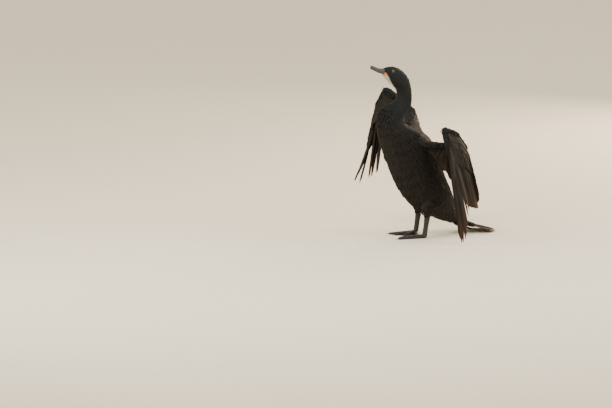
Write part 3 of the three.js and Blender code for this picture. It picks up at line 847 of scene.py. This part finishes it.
# %% One long feather
FORMS = {  # share of the length, share of the half width
    "pointed": [(0, 0.10), (0.1, 0.45), (0.25, 0.9), (0.5, 1.0), (0.78, 0.82), (0.93, 0.5), (1, 0.10)],
    "rounded": [(0, 0.10), (0.1, 0.5), (0.28, 0.95), (0.6, 1.0), (0.85, 0.92), (0.95, 0.68), (1, 0.22)],
    "covert": [(0, 0.25), (0.2, 0.7), (0.5, 1.0), (0.8, 0.9), (0.93, 0.62), (1, 0.2)],
}
VANE_COLUMNS = 6
ROW_LENGTH = 7 * MM
SHEET = 0.35 * MM
SPLITS = 4  # places where the barbs have parted
SPLIT_DEPTH = 0.10
SHAFT_SHARE = 1 / 3.2  # of the half width, where the vane rises to its shaft
VANE_CUP = 0.10


def long_feather(shape, layers, feather, random):
    """Adds one feather to a bmesh. feather holds its root, tip, up, width, form, bends and patch."""
    axis = feather["tip"] - feather["root"]
    length = axis.length
    axis = axis.normalized()
    face = (feather["up"] - axis * feather["up"].dot(axis)).normalized()
    face = Matrix.Rotation(feather["lap"], 3, axis) @ face
    side = axis.cross(face)
    rows = max(6, int(length / ROW_LENGTH))
    before = len(shape.verts)
    bmesh.ops.create_grid(shape, x_segments=VANE_COLUMNS, y_segments=rows, size=0.5)
    shape.verts.ensure_lookup_table()
    made = shape.verts[before:]
    alongs, widths = zip(*FORMS[feather["form"]])
    lead = feather.get("lead", 0)
    lot = random.random()
    splits = random.uniform(0.3, 0.97, SPLITS)
    for vert in made:
        across = vert.co.x * 2
        along = vert.co.y + 0.5
        half = np.interp(along, alongs, widths) * feather["width"] / 2
        offset = across * half * (1 - lead * (across > 0))
        if abs(across) > 0.9:
            offset *= 1 - SPLIT_DEPTH * max(0.0, 1 - float(np.abs(splits - along).min()) * rows)
        bend = length * 4 * along * (1 - along)
        shaft = max(0.0, 1 - abs(across) / SHAFT_SHARE) * (0.9 - 0.75 * along) * MM
        height = feather["bow"] * bend + shaft - VANE_CUP * half * across * across
        vert.co = feather["root"] + axis * along * length
        vert.co += face * height + side * (offset + feather["sweep"] * bend)
        vert[layers["vane"]] = (across, along, lot)
    faces = list({f for v in made for f in v.link_faces})
    for sheet_face in faces:
        sheet_face.smooth = True
        for loop in sheet_face.loops:
            across, along, _ = loop.vert[layers["vane"]]
            loop[layers["bake"]].uv = feather["patch"] + Vector((across * PATCH, along * feather["reach"]))
    bmesh.ops.recalc_face_normals(shape, faces=faces)
    bmesh.ops.solidify(shape, geom=faces, thickness=SHEET)


def feather_piece(name, feathers, random, slot):
    """One joined mesh of long feathers."""
    shape = bmesh.new()
    vane_layer = shape.verts.layers.float_vector.new("vane")
    layers = {"vane": vane_layer, "bake": shape.loops.layers.uv.new("OFBake")}
    for feather in feathers:
        long_feather(shape, layers, feather, random)
    piece = object_from(name, shape)
    print(name, len(feathers), "feathers,", len(piece.data.polygons), "faces")
    return ride_as(piece, slot)


# %% [markdown]
# Feathers stand in rows. Each row has a line of roots on the bone and a line that its tips reach,
# and shorter rows lie over longer ones like roof tiles, both above and below the wing.
# The outer primaries of a drying wing hang apart in twos and threes, so neighbours are drawn together.

# %% Rows of feathers
BAKE_COLUMNS = 60
BAKE_ROWS = 7
LINE_STEPS = 60
STRIP_LENGTH = 0.12
LONGEST = 0.25  # a feather this long or longer fills its strip
bake_places = iter(range(BAKE_COLUMNS * BAKE_ROWS))


def bake_place():
    """The next free place on the long feathers' map, where each vane has a narrow strip."""
    row, column = divmod(next(bake_places), BAKE_COLUMNS)
    return Vector((0.02 + 0.96 * column / BAKE_COLUMNS, 0.03 + 0.13 * row))


def feather_row(roots, tips, count, dorsal, random, **shape):
    """Feathers from points on a root line to points on a tip line, given in metres."""
    pairing = shape.pop("pairing", 0)
    jitter = shape.pop("jitter", 3) * MM
    root_rise = shape.pop("root_rise", 0) * MM
    tip_rise = shape.pop("tip_rise", 0) * MM
    sweep = shape.pop("sweep", 0)
    dorsal = Vector(dorsal)
    root_line = smooth_path(roots, LINE_STEPS + 1)
    tip_line = smooth_path(tips, LINE_STEPS + 1)
    feathers = []
    for k in range(count):
        t = k / (count - 1)
        pair_middle = min(1, (2 * (k // 2) + 0.5) / (count - 1))
        own = round(t * LINE_STEPS)
        drawn = (t + (pair_middle - t) * pairing) * LINE_STEPS
        low = min(int(drawn), LINE_STEPS - 1)
        root = root_line[own].copy()
        tip = tip_line[low].lerp(tip_line[low + 1], drawn - low)
        tip += (tip - root).normalized() * jitter * (random.random() - 0.7)
        ahead = root_line[min(own + 1, LINE_STEPS)] - root_line[max(own - 1, 0)]
        ahead += tip_line[min(low + 2, LINE_STEPS)] - tip_line[low]
        up = ahead.cross(tip - root).normalized()
        sense = 1 if up.dot(dorsal) > 0 else -1
        up *= sense
        feather = dict(shape, up=up, patch=bake_place())
        feather["root"] = root + up * root_rise
        feather["tip"] = tip + up * tip_rise
        feather["width"] = shape["width"] * MM * random.uniform(0.95, 1.05)
        feather["lap"] = sense * shape["lap"] + random.normal(0, 0.02)
        feather["sweep"] = sense * sweep * (1 - t) + random.normal(0, 0.004)
        feather["bow"] = shape["bow"] + random.normal(0, 0.003)
        feather["reach"] = STRIP_LENGTH * min(1, (tip - root).length / LONGEST)
        feathers.append(feather)
    return feathers


def part_way(roots, tips, share, steps=5):
    """A line between the root line and the tip line."""
    inner, outer = smooth_path(roots, steps), smooth_path(tips, steps)
    return [a.lerp(b, share) for a, b in zip(inner, outer)]


# %% Wings
# Each shorter row: bone, share of the way to the long tips, count, width, rise of roots and of tips.
COVERTS = [
    ("hand", 0.36, 10, 17, 4, 6),
    ("forearm", 0.46, 13, 27, 4.5, 7), ("forearm", 0.34, 14, 25, 6, 9.5),
    ("forearm", 0.24, 15, 22, 7.5, 11.5), ("forearm", 0.15, 16, 19, 8.5, 12.5),
    ("upper_arm", 0.5, 8, 30, 5, 8), ("upper_arm", 0.32, 9, 26, 7, 11), ("upper_arm", 0.18, 9, 22, 8, 12),
    ("hand", 0.2, 10, 15, 6, 8.5),
]
LININGS = [
    ("hand", 0.28, 9, 17, -4, -5), ("forearm", 0.36, 12, 26, -5, -7),
    ("forearm", 0.22, 13, 22, -6.5, -9), ("upper_arm", 0.34, 8, 26, -5, -7),
]
OVER = {"bow": 0.02, "lap": 0.16}
UNDER = {"bow": -0.02, "lap": -0.12}
FLIGHTS = {
    "hand": {"count": 10, "width": 27, "form": "pointed", "lead": 0.45, "bow": 0.012},
    "forearm": {"count": 17, "width": 32, "form": "rounded", "lead": 0.2, "bow": 0.012},
    "upper_arm": {"count": 7, "width": 34, "form": "rounded", "bow": 0.02},
}

wing_pieces = []
for number, (word, wing) in enumerate(WINGS.items()):
    random = np.random.default_rng(31 + number)
    shoulder, elbow, bend, wrist, palm, knuckle = (spot(*wing[key]) for key in ARM_MARKS)
    dorsal = wing["dorsal"]
    bones = {"hand": [knuckle, palm, wrist], "forearm": [wrist, bend, elbow],
             "upper_arm": [elbow, shoulder.lerp(elbow, 0.2)]}
    tips = {bone: [spot(*p) for p in wing[bone]] for bone in bones}
    spread = {"hand": {"pairing": wing["pairing"], "sweep": wing["sweep"]}}
    feathers = []
    for bone, shape in FLIGHTS.items():
        shape = {"lap": 0.2, **shape, **spread.get(bone, {})}
        feathers += feather_row(bones[bone], tips[bone], dorsal=dorsal, random=random, **shape)
    piece = feather_piece(f"flights_{word}", feathers, random, "flight_feathers")
    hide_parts(f"wing_{word}")
    wing_pieces.append(piece)
    for kind, table, shape in (("coverts", COVERTS, OVER), ("linings", LININGS, UNDER)):
        feathers = []
        for bone, share, count, width, root_rise, tip_rise in table:
            ends = part_way(bones[bone], tips[bone], share)
            feathers += feather_row(bones[bone], ends, count, dorsal, random, form="covert", jitter=4,
                                    width=width, root_rise=root_rise, tip_rise=tip_rise, **shape)
        wing_pieces.append(feather_piece(f"{kind}_{word}", feathers, random, "flight_feathers"))

# %% [markdown]
# A cormorant's tail is a stiff wedge of fourteen long feathers. It props the bird up, and here it
# lies on the floor behind it, a little fanned, with short coverts over and under its root.

# %% Tail
TAIL_ROOT = (134, 43)
FAN_CENTRE_Y = 118
TAIL_HALF = 15
TAIL_LENGTH = 165
TAIL_FAN = math.radians(25)
FLOOR_CLEARANCE = 0.3 * MM
# Each row of coverts: reach and height of the tips, count, width and rise.
TAIL_COVERTS = [(88, 26, 9, 17, 4), (66, 34, 9, 17, 6), (50, 40, 8, 16, 8)]
UNDER_TAIL_COVERTS = [(78, 13, 8, 17, -4), (58, 18, 8, 16, -6)]


def fan_line(reach, height, shortening):
    """Where the tips of a fanned row lie."""
    line = []
    for k in range(-3, 4):
        angle = TAIL_FAN * -k / 3
        length = reach * (1 - shortening * (k / 3) ** 2)
        line.append(spot(length * math.sin(angle), FAN_CENTRE_Y + length * math.cos(angle), height))
    return line


tail_random = np.random.default_rng(37)
tail_roots = [spot(TAIL_HALF, *TAIL_ROOT), spot(-TAIL_HALF, *TAIL_ROOT)]


def tail_row(tips, count, **shape):
    return feather_row(tail_roots, tips, count, TAIL_DORSAL, tail_random, **shape)


def tail_coverts(table, tip_share, **shape):
    """Rows of short feathers, whose tips rise by a share of the rise at their roots."""
    feathers = []
    for reach, height, count, width, rise in table:
        feathers += tail_row(fan_line(reach, height, 0.1), count, width=width, form="covert",
                             root_rise=rise, tip_rise=rise * tip_share, **shape)
    return feathers


tail_feathers = tail_row(fan_line(TAIL_LENGTH, 3.5, 0.16), 14, width=19, form="rounded", bow=0.008,
                         lap=0.16, jitter=9)
tail_feathers += tail_coverts(TAIL_COVERTS, 0.5, bow=0.02, lap=0.14)
tail_feathers += tail_coverts(UNDER_TAIL_COVERTS, 0.3, bow=-0.015, lap=-0.12)
tail_piece = feather_piece("tail_feathers", tail_feathers, tail_random, "flight_feathers")
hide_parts("tail")
for vert in tail_piece.data.vertices:
    vert.co.z = max(vert.co.z, FLOOR_CLEARANCE)

# %% [markdown]
# The bill is one tapered form with a hook, parted along the mouth. Rings are set along it and
# bridged, and a plane then bisects the closed form: each half is filled where it was cut.
# The nostril is a narrow slit in a groove, which real cormorants have almost closed.

# %% Bill
BILL = [  # under edge (y, z), upper edge (y, z) and half width, in millimetres
    (-144, 549, -144, 570, 9.2), (-152, 550.5, -152, 570.8, 8.6), (-165, 554.5, -165, 571.8, 7.3),
    (-180, 560, -180, 576, 6.1), (-193, 566, -193, 581, 5.3), (-202, 570.3, -202, 584, 4.8),
    (-208, 569.5, -208.5, 582.5, 3.6), (-210.5, 567.5, -211.5, 572, 1.4),
]
BILL_RINGS = 46
BILL_SIDES = 28
TOP_NARROWING = 0.12
MOUTH_POINT = (0, -166, 563.8)
MOUTH_PITCH = math.radians(14)
MOUTH_HALF_GAP = 0.03
HOOK_Y = -205
NOSTRIL = (-163, 567.2)
NOSTRIL_REACH = 4.2
NOSTRIL_DEPTH = 0.9
GROOVE_DEPTH = 0.32
GROOVE_SLOPE = 0.26
RIM_ANGLE = math.radians(60)
RIM_ROUNDING = 0.25


def bill_form():
    """The closed bill before it is parted, in millimetres and not yet turned."""
    shape = bmesh.new()
    lower = smooth_path([(0, row[0], row[1]) for row in BILL], BILL_RINGS)
    upper = smooth_path([(0, row[2], row[3]) for row in BILL], BILL_RINGS)
    halves = smooth_path([(row[4], 0, 0) for row in BILL], BILL_RINGS)
    rings = []
    for low, high, half in zip(lower, upper, halves):
        middle = (low + high) / 2
        reach = (high - low) / 2
        ring = bmesh.ops.create_circle(shape, segments=BILL_SIDES, radius=1)["verts"]
        for vert in ring:
            x, y, _ = vert.co
            vert.co = middle + Vector((half.x * x * (1 - TOP_NARROWING * max(y, 0)), 0, 0)) + reach * y
            if vert.co.y <= HOOK_Y:
                continue
            above = vert.co.z - NOSTRIL[1] - GROOVE_SLOPE * (NOSTRIL[0] - vert.co.y)
            depth = GROOVE_DEPTH
            depth += NOSTRIL_DEPTH * math.exp(-((vert.co.y - NOSTRIL[0]) / NOSTRIL_REACH) ** 2)
            vert.co.x -= math.copysign(math.exp(-above ** 2) * depth, vert.co.x)
        rings.append(ring)
    bridged(shape, rings)
    return shape


def keep_side(shape, point, normal):
    """Cuts a closed form with a plane, drops what the normal points to and fills the cut."""
    geometry = shape.verts[:] + shape.edges[:] + shape.faces[:]
    cut = bmesh.ops.bisect_plane(shape, geom=geometry, plane_co=point, plane_no=normal, clear_outer=True)
    edges = [item for item in cut["geom_cut"] if isinstance(item, bmesh.types.BMEdge)]
    bmesh.ops.holes_fill(shape, edges=edges)
    bmesh.ops.recalc_face_normals(shape, faces=shape.faces)


mouth_up = Vector((0, math.sin(MOUTH_PITCH), math.cos(MOUTH_PITCH)))
mouth_point = Vector(MOUTH_POINT)
bill_upper = bill_form()
keep_side(bill_upper, mouth_point + mouth_up * MOUTH_HALF_GAP, -mouth_up)
bill_lower = bill_form()
keep_side(bill_lower, mouth_point - mouth_up * MOUTH_HALF_GAP, mouth_up)
keep_side(bill_lower, Vector((0, HOOK_Y + 0.4, 0)), Vector((0, -1, 0)))
bill_pieces = []
for name, shape in (("bill_upper_horn", bill_upper), ("bill_lower_horn", bill_lower)):
    rims = [edge for edge in shape.edges if edge.calc_face_angle(0) > RIM_ANGLE]
    bmesh.ops.bevel(shape, geom=rims, offset=RIM_ROUNDING, segments=2, profile=0.5, affect="EDGES",
                    material=-1)
    for vert in shape.verts:
        vert.co = spot(*turned(*vert.co))
    smooth(shape)
    piece = object_from(name, shape)
    bill_pieces.append(ride_as(piece, "bill_horn", name.removesuffix("_horn")))
    print(name, len(piece.data.polygons), "faces")

# %% [markdown]
# An eye looks alive when light finds a smooth wet ball inside a soft rim. The ball is a sphere
# whose pole looks outwards, so that the iris and pupil are plain circles round it.
# Each lid is a thin ring of skin, spun round the same axis and drawn a little into an almond.

# %% Eyes and lids
EYE_RADIUS = 6.0 * MM
LID_RADIUS = 5.6 * MM
LID_THICKNESS = 0.95 * MM
LID_FORWARD = 3.3 * MM
CORNEA_BULGE = 0.5 * MM
CORNEA_START = 0.72  # how far out along the axis it begins, as a share of the radius
LID_FOLDS = 24
FOLD_DEPTH = 0.02
LID_WIDTH = 1.04
LID_SQUEEZE = 0.12


def eye_frame(side):
    """The centre of an eye and the axes with its outward way last."""
    centre = eye_spot(side)
    outward = Matrix.Rotation(HEAD_TURN, 3, "Z") @ Vector((side * 0.97, -0.2, 0.14)).normalized()
    across = Vector((0, 0, 1)).cross(outward).normalized()
    return centre, Matrix((across, outward.cross(across), outward)).transposed()


def eyeball_form(centre, axes):
    """A ball whose clear front bulges a little."""
    ball = bmesh.new()
    bmesh.ops.create_uvsphere(ball, u_segments=32, v_segments=24, radius=EYE_RADIUS)
    for vert in ball.verts:
        bulge = CORNEA_BULGE * max(0.0, vert.co.z / EYE_RADIUS - CORNEA_START) / (1 - CORNEA_START)
        vert.co = centre + axes @ (vert.co + vert.co.normalized() * bulge)
    smooth(ball)
    return ball


def lid_form(centre, axes):
    """A ring of skin with small folds, a little lower than it is wide."""
    rim = bmesh.new()
    profile = bmesh.ops.create_circle(rim, segments=12, radius=LID_THICKNESS)
    upright = Matrix.Rotation(math.radians(90), 3, "X")
    for vert in profile["verts"]:
        vert.co = upright @ vert.co + Vector((LID_RADIUS, 0, LID_FORWARD))
    bmesh.ops.spin(rim, geom=rim.verts[:] + rim.edges[:], cent=(0, 0, 0), axis=(0, 0, 1),
                   angle=2 * math.pi, steps=48, use_merge=True)
    bmesh.ops.remove_doubles(rim, verts=rim.verts, dist=0.01 * MM)
    for vert in rim.verts:
        x, y, z = vert.co
        angle = math.atan2(y, x)
        pucker = 1 + FOLD_DEPTH * math.sin(LID_FOLDS * angle)
        squeeze = 1 - LID_SQUEEZE * (1 - abs(math.cos(angle)))
        vert.co = centre + axes @ Vector((x * pucker * LID_WIDTH, y * pucker * squeeze, z))
    bmesh.ops.recalc_face_normals(rim, faces=rim.faces)
    smooth(rim)
    return rim


eye_pieces = []
lid_pieces = []
for word, side in SIDES.items():
    ball = object_from(f"eyeball_{word}", eyeball_form(*eye_frame(side)))
    eye_pieces.append(ride_as(ball, "eye", f"eye_{word}"))
    lid = object_from(f"lid_{word}", lid_form(*eye_frame(side)))
    lid_pieces.append(ride_as(lid, "bare_skin"))

# %% [markdown]
# A cormorant's foot has all four toes in one web. The solids hold its size, so a copy of the shank
# and foot is welded and smoothed, with a tapered stump that carries the shank up into the thigh.
# Relief for the scales comes with the finish, and each claw is a small bent cone of its own
# that grows out of its toe.

# %% Feet and claws
FOOT_VOXEL = 1.0 * MM
FOOT_SMOOTHING = 5
FOOT_SEAM_COVER = 0.6 * MM
SOLE_CLEARANCE = 0.05 * MM
CLAW_LENGTH = 11
CLAW_OVERLAP = 1.5
CLAW_STEPS = 10
CLAW_SIDES = 14
CLAW_HEIGHT = 3.4
CLAW_ARCH = 1.6
CLAW_DROP = 2.5
CLAW_RADII = (2.4, 0.4)
SHANK_LEAN = 8
STUMP_PATH = ((SHANK_LEAN * 0.8, 58), (SHANK_LEAN, 66), (SHANK_LEAN * 1.15, 76), (SHANK_LEAN * 1.3, 92))
STUMP_RADII = (7.0, 8.6, 8.0, 5.0)
TOES = {  # angle from straight ahead towards the bird's left, and length
    "left": ((-80, 40), (-42, 72), (-25, 90), (-9, 102)),
    "right": ((62, 40), (17, 70), (-4, 88), (-22, 100)),
}
foot_pieces = []
claw_pieces = []


def claw_form(start, ahead):
    """A bent cone that leaves its toe at start, both given in millimetres."""
    path = []
    radii = []
    root, tip = CLAW_RADII
    for step in range(CLAW_STEPS + 1):
        t = step / CLAW_STEPS
        reach = CLAW_LENGTH * t - CLAW_OVERLAP * (1 - t)
        height = CLAW_HEIGHT + CLAW_ARCH * math.sin(math.pi * t) - CLAW_DROP * t
        path.append(spot(*(start + ahead * reach + Vector((0, 0, height)))))
        radii.append((root + (tip - root) * t ** 1.3) * MM)
    shape = bmesh.new()
    tube(shape, path, radii, sides=CLAW_SIDES, flat=0.85)
    smooth(shape)
    return shape


for word, side in SIDES.items():
    leg = copy_of_solids([f"shank_{word}", f"foot_{word}"], FOOT_SEAM_COVER)
    centres = [spot(side * LEG_X, FOOT_Y[word] + lean, z) for lean, z in STUMP_PATH]
    absorb_tube(leg, centres, [r * MM for r in STUMP_RADII])
    foot = fused(f"leg_{word}", leg, FOOT_VOXEL, FOOT_SMOOTHING)
    for vert in foot.data.vertices:
        vert.co.z = max(vert.co.z, SOLE_CLEARANCE)
    foot_pieces.append(ride_as(foot, "bare_skin", f"shank_{word}", f"foot_{word}"))
    for number, (angle, length) in enumerate(TOES[word], 1):
        ahead = Vector((math.sin(math.radians(angle)), -math.cos(math.radians(angle)), 0))
        start = Vector((side * LEG_X, FOOT_Y[word], 0)) + ahead * (length - CLAW_LENGTH)
        claw = object_from(f"talon_{word}_{number}", claw_form(start, ahead))
        claw_pieces.append(ride_as(claw, "claw", f"claw_{word}_{number}"))
print("feet", [len(p.data.polygons) for p in foot_pieces], "claws", len(claw_pieces))

# %% [markdown]
# The plumage looks black from afar. Close by, the head and neck are a little blue-green, the belly
# is browner, the mantle and the wing coverts are bronze with dark edges, and the face has a pale
# patch behind orange bare skin. The skin and the coat share one function for these markings,
# so that nothing false shows between feathers.

# %% Markings shared by the skin and the coat
BLACK = (0.0062, 0.0054, 0.0048)
GREEN_BLACK = (0.0050, 0.0072, 0.0074)
BROWN_BLACK = (0.0150, 0.0105, 0.0070)
BRONZE = (0.012, 0.0082, 0.0056)
PALE = (0.42, 0.38, 0.33)
ORANGE = (0.50, 0.20, 0.035)
CHEEK_LINE = [(0, -146, 550), (0, -141, 538), (0, -131, 524), (0, -118, 511), (0, -106, 501)]
CHEEK_HALF_WIDTHS = (12.5, 13.0, 11.0, 7.5, 4.0)
GAPE = ((0, -150, 553), (12, 8, 7))


def turned_patch(finish, place, centre, half_sizes, soft=0.35):
    return finish.patch(place, turned(*centre), half_sizes, soft)


def cheek_share(finish, place):
    """The pale patch: near a line from the bill's root down the throat, with a broken edge."""
    ragged = finish.noise(place, 420, 3)
    share = 0.0
    line = smooth_path(CHEEK_LINE, 9)
    widths = np.interp(np.linspace(0, 1, 9), np.linspace(0, 1, 5), CHEEK_HALF_WIDTHS)
    for centre, width in zip(line, widths):
        apart = finish.distance(place, turned(*centre) * MM) - ragged * 0.006
        near = finish.ease(apart, (width - 1.5) * MM, (width - 5) * MM)
        share = finish.larger(share, near)
    return share


def plumage_colour(finish):
    """The colour of the coat at a place on the bird, before any detail of a single feather."""
    place = finish.place()
    _, y, z = finish.axes(place)
    cloud = finish.noise(place, 38, 4)
    neck = finish.ease(z + y * 0.35, 0.30, 0.40)
    colour = finish.blend(neck * 0.8, BLACK, GREEN_BLACK)
    belly = finish.ease(z, 0.20, 0.09) * finish.ease(cloud, 0.35, 0.7)
    colour = finish.blend(belly * 0.8, colour, BROWN_BLACK)
    mantle = turned_patch(finish, place, (0, 46, 300), (95, 75, 95), 0.3) * finish.ease(y, -0.035, 0.02)
    colour = finish.blend(mantle * 0.75, colour, BRONZE)
    return finish.blend(cheek_share(finish, place), colour, PALE), mantle, place


def skin_under_coat():
    finish = Finish("skin under the coat", roughness=0.7, specular_ior_level=0.2)
    colour, _, place = plumage_colour(finish)
    gape = turned_patch(finish, place, *GAPE)
    finish.set(base_color=finish.blend(gape, colour, ORANGE))
    finish.bump(finish.noise(place, 900, 2), 0.4, 0.4 * MM)
    return finish


wear([skin], skin_under_coat())

# %% [markdown]
# Each small feather has its own tone and gloss, a dark edge and fine barbs that run out from its
# shaft. The vane attribute says where on the feather a point lies and holds a number of its own.

# %% Finish of the coat
# A warm brown painted on feather edges as a highlight: the glint of light on glossy edges.
PAINTED_EDGE_GLINT = (0.045, 0.03, 0.018)


def vane_parts(finish):
    attribute = finish.node("Attribute", {"attribute_name": "vane"}, output="Vector")
    return finish.axes(attribute)


def barbs(finish, across, along, slant, count):
    """Fine ridges that slant from the shaft towards the tip."""
    return finish.maths("SINE", (along - abs(across) * slant) * count)


def body_feathers():
    finish = Finish("body feathers", specular_ior_level=0.2)
    colour, mantle, _ = plumage_colour(finish)
    across, along, lot = vane_parts(finish)
    edge = finish.larger(finish.ease(abs(across), 0.55, 1.0), finish.ease(along, 0.72, 0.98))
    base = finish.scaled(colour, lot * 0.6 + 0.72)
    base = finish.blend(edge * mantle * 0.85, base, BLACK)
    # Painted highlight: on about one feather in four the edge is lightened to a warm brown, as if caught
    # by light.
    base = finish.blend(edge * finish.ease(lot, 0.75, 1.0) * 0.35, base, PAINTED_EDGE_GLINT)
    finish.set(base_color=base, roughness=lot * 0.2 + 0.54)
    finish.bump(barbs(finish, across, along, 0.35, 90), 0.25, 0.08 * MM)
    return finish


wear(plumage_pieces, body_feathers())

# %% [markdown]
# The long feathers are dark bronze-brown with blackish edges and a shaft a little paler.
# Their thin tips let light through, which the warm brown at their ends stands for.

# %% Finish of the long feathers
DARK_BROWN = (0.0105, 0.0072, 0.0050)
# Painted light: the warm brown of thin tips that light shines through.
BACKLIT_TIP_BROWN = (0.055, 0.025, 0.009)


def long_feather_finish(name, middle_colour, backlit_tip_colour, tip_share):
    finish = Finish(name, specular_ior_level=0.2)
    across, along, lot = vane_parts(finish)
    place = finish.place()
    shaft = finish.ease(abs(across), 0.10, 0.04)
    edge = finish.larger(finish.ease(abs(across), 0.62, 0.98), finish.ease(along, 0.86, 0.99))
    fleck = finish.noise(finish.stretched(place, (1, 1, 0.35)), 260, 3)
    base = finish.blend(finish.ease(fleck, 0.3, 0.75) * 0.5, middle_colour, BLACK)
    base = finish.scaled(base, lot * 0.55 + 0.7)
    base = finish.blend(edge * 0.85, base, BLACK)
    # Painted light: the tips turn a warm brown, as if backlight shone through their thin vanes.
    base = finish.blend(finish.ease(along, 0.62, 1.0) * tip_share, base, backlit_tip_colour)
    base = finish.blend(shaft * 0.6, base, (0.022, 0.015, 0.010))
    finish.set(base_color=base, roughness=lot * 0.12 + 0.62)
    finish.bump(barbs(finish, across, along, 0.12, 420), 0.22, 0.12 * MM)
    return finish


flight_finish = long_feather_finish("flight feathers", DARK_BROWN, BACKLIT_TIP_BROWN, 0.45)
covert_finish = long_feather_finish("wing coverts", BRONZE, (0.014, 0.009, 0.006), 0.2)
for piece in wing_pieces:
    wear([piece], covert_finish if piece.name.startswith("coverts") else flight_finish)
wear([tail_piece], flight_finish)

# %% [markdown]
# Horn is dull and finely scratched along its length. The bill is blue-grey on its sides and dark
# on its ridge and hook. The feet are nearly black, with rows of small scales on the toes.

# %% Finishes of the bare parts
# Each edge runs from where a marking is absent to where it is full.
RIDGE_SLOPE, RIDGE_EDGE = 0.30, (0.5213, 0.5262)  # z plus the slope times y, in metres
LOWER_SLOPE, LOWER_EDGE = 0.249, (0.5228, 0.5216)
HOOK_EDGE = (-0.186, -0.197)  # y
PUPIL_EDGE = (2.2 * MM, 1.9 * MM)  # from the middle of the pupil
IRIS_RIM_EDGE = (4.1 * MM, 4.6 * MM)


def bill_horn():
    finish = Finish("bill horn", roughness=0.42, coat_roughness=0.3)
    place = finish.place()
    _, y, z = finish.axes(place)
    streak = finish.noise(finish.stretched(place, (1, 0.12, 1)), 700, 3)
    ridge = finish.ease(z + y * RIDGE_SLOPE, *RIDGE_EDGE)
    hook = finish.ease(y, *HOOK_EDGE)
    lower_half = finish.ease(z + y * LOWER_SLOPE, *LOWER_EDGE)
    horn = finish.blend(finish.ease(streak, 0.3, 0.7), (0.026, 0.027, 0.034), (0.055, 0.055, 0.066))
    horn = finish.blend(lower_half * 0.6, horn, (0.045, 0.040, 0.042))
    horn = finish.blend(ridge * 0.9, horn, (0.012, 0.011, 0.012))
    horn = finish.blend(hook * 0.8, horn, (0.026, 0.018, 0.014))
    finish.set(base_color=horn, roughness=streak * 0.2 + 0.36)
    finish.bump(streak, 0.3, 0.12 * MM)
    return finish


def eye_surface(word, side):
    """A dark pupil in a green iris with a dark rim, each a circle round the ball's outer pole."""
    finish = Finish(f"eye {word}", roughness=0.08, coat_weight=0.5, coat_roughness=0.05)
    centre, axes = eye_frame(side)
    place = finish.place()
    apart = finish.distance(place, centre + axes @ Vector((0, 0, EYE_RADIUS)) - origin)
    fibre = finish.ease(finish.noise(place, 2600, 3), 0.3, 0.7)
    base = finish.blend(fibre, (0.004, 0.030, 0.022), (0.009, 0.062, 0.046))
    base = finish.blend(finish.ease(apart, *IRIS_RIM_EDGE), base, (0.003, 0.006, 0.006))
    base = finish.blend(finish.ease(apart, *PUPIL_EDGE), base, (0.002, 0.002, 0.002))
    finish.set(base_color=base)
    return finish


def lid_skin():
    finish = Finish("lid skin", roughness=0.55)
    grain = finish.noise(finish.place(), 1400, 3)
    tone = finish.ease(grain, 0.35, 0.7)
    finish.set(base_color=finish.blend(tone, (0.012, 0.014, 0.018), (0.035, 0.04, 0.05)))
    finish.bump(grain, 0.5, 0.2 * MM)
    return finish


def foot_skin():
    """Small scales, each with a dark groove round it."""
    finish = Finish("scaled foot skin")
    place = finish.place()
    cells = {"Vector": place, "Scale": 520}
    edge = finish.node("TexVoronoi", {"feature": "DISTANCE_TO_EDGE"}, cells, output="Distance")
    scale = finish.ease(edge, 0.0, 0.16)
    cloud = finish.noise(place, 120, 3)
    base = finish.blend(finish.ease(cloud, 0.35, 0.7), (0.0085, 0.0078, 0.0072), (0.022, 0.0195, 0.0175))
    base = finish.blend(scale, (0.004, 0.0038, 0.0036), base)
    finish.set(base_color=base, roughness=cloud * 0.2 + 0.40)
    finish.bump(scale, 0.45, 0.35 * MM)
    return finish


def claw_horn():
    finish = Finish("claw horn", roughness=0.35)
    streak = finish.noise(finish.place(), 900, 3)
    base = finish.blend(streak, (0.012, 0.010, 0.009), (0.045, 0.038, 0.032))
    finish.set(base_color=base, roughness=streak * 0.2 + 0.28)
    return finish


wear(bill_pieces, bill_horn())
for (word, side), piece in zip(SIDES.items(), eye_pieces):
    wear([piece], eye_surface(word, side))
wear(lid_pieces, lid_skin())
wear(foot_pieces, foot_skin())
wear(claw_pieces, claw_horn())

# %% [markdown]
# Last, the visual model is measured, and so are the solids.
# It has to keep their size, so both boxes are kept side by side.

# %% Sizes
ride_as(skin, "plumage", *FLESH)
seen_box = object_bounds()
sizes = {"cad": [list(corner) for corner in cad_box], "visual": [list(corner) for corner in seen_box]}
print("visual box", [round(side, 4) for side in seen_box[1] - seen_box[0]])
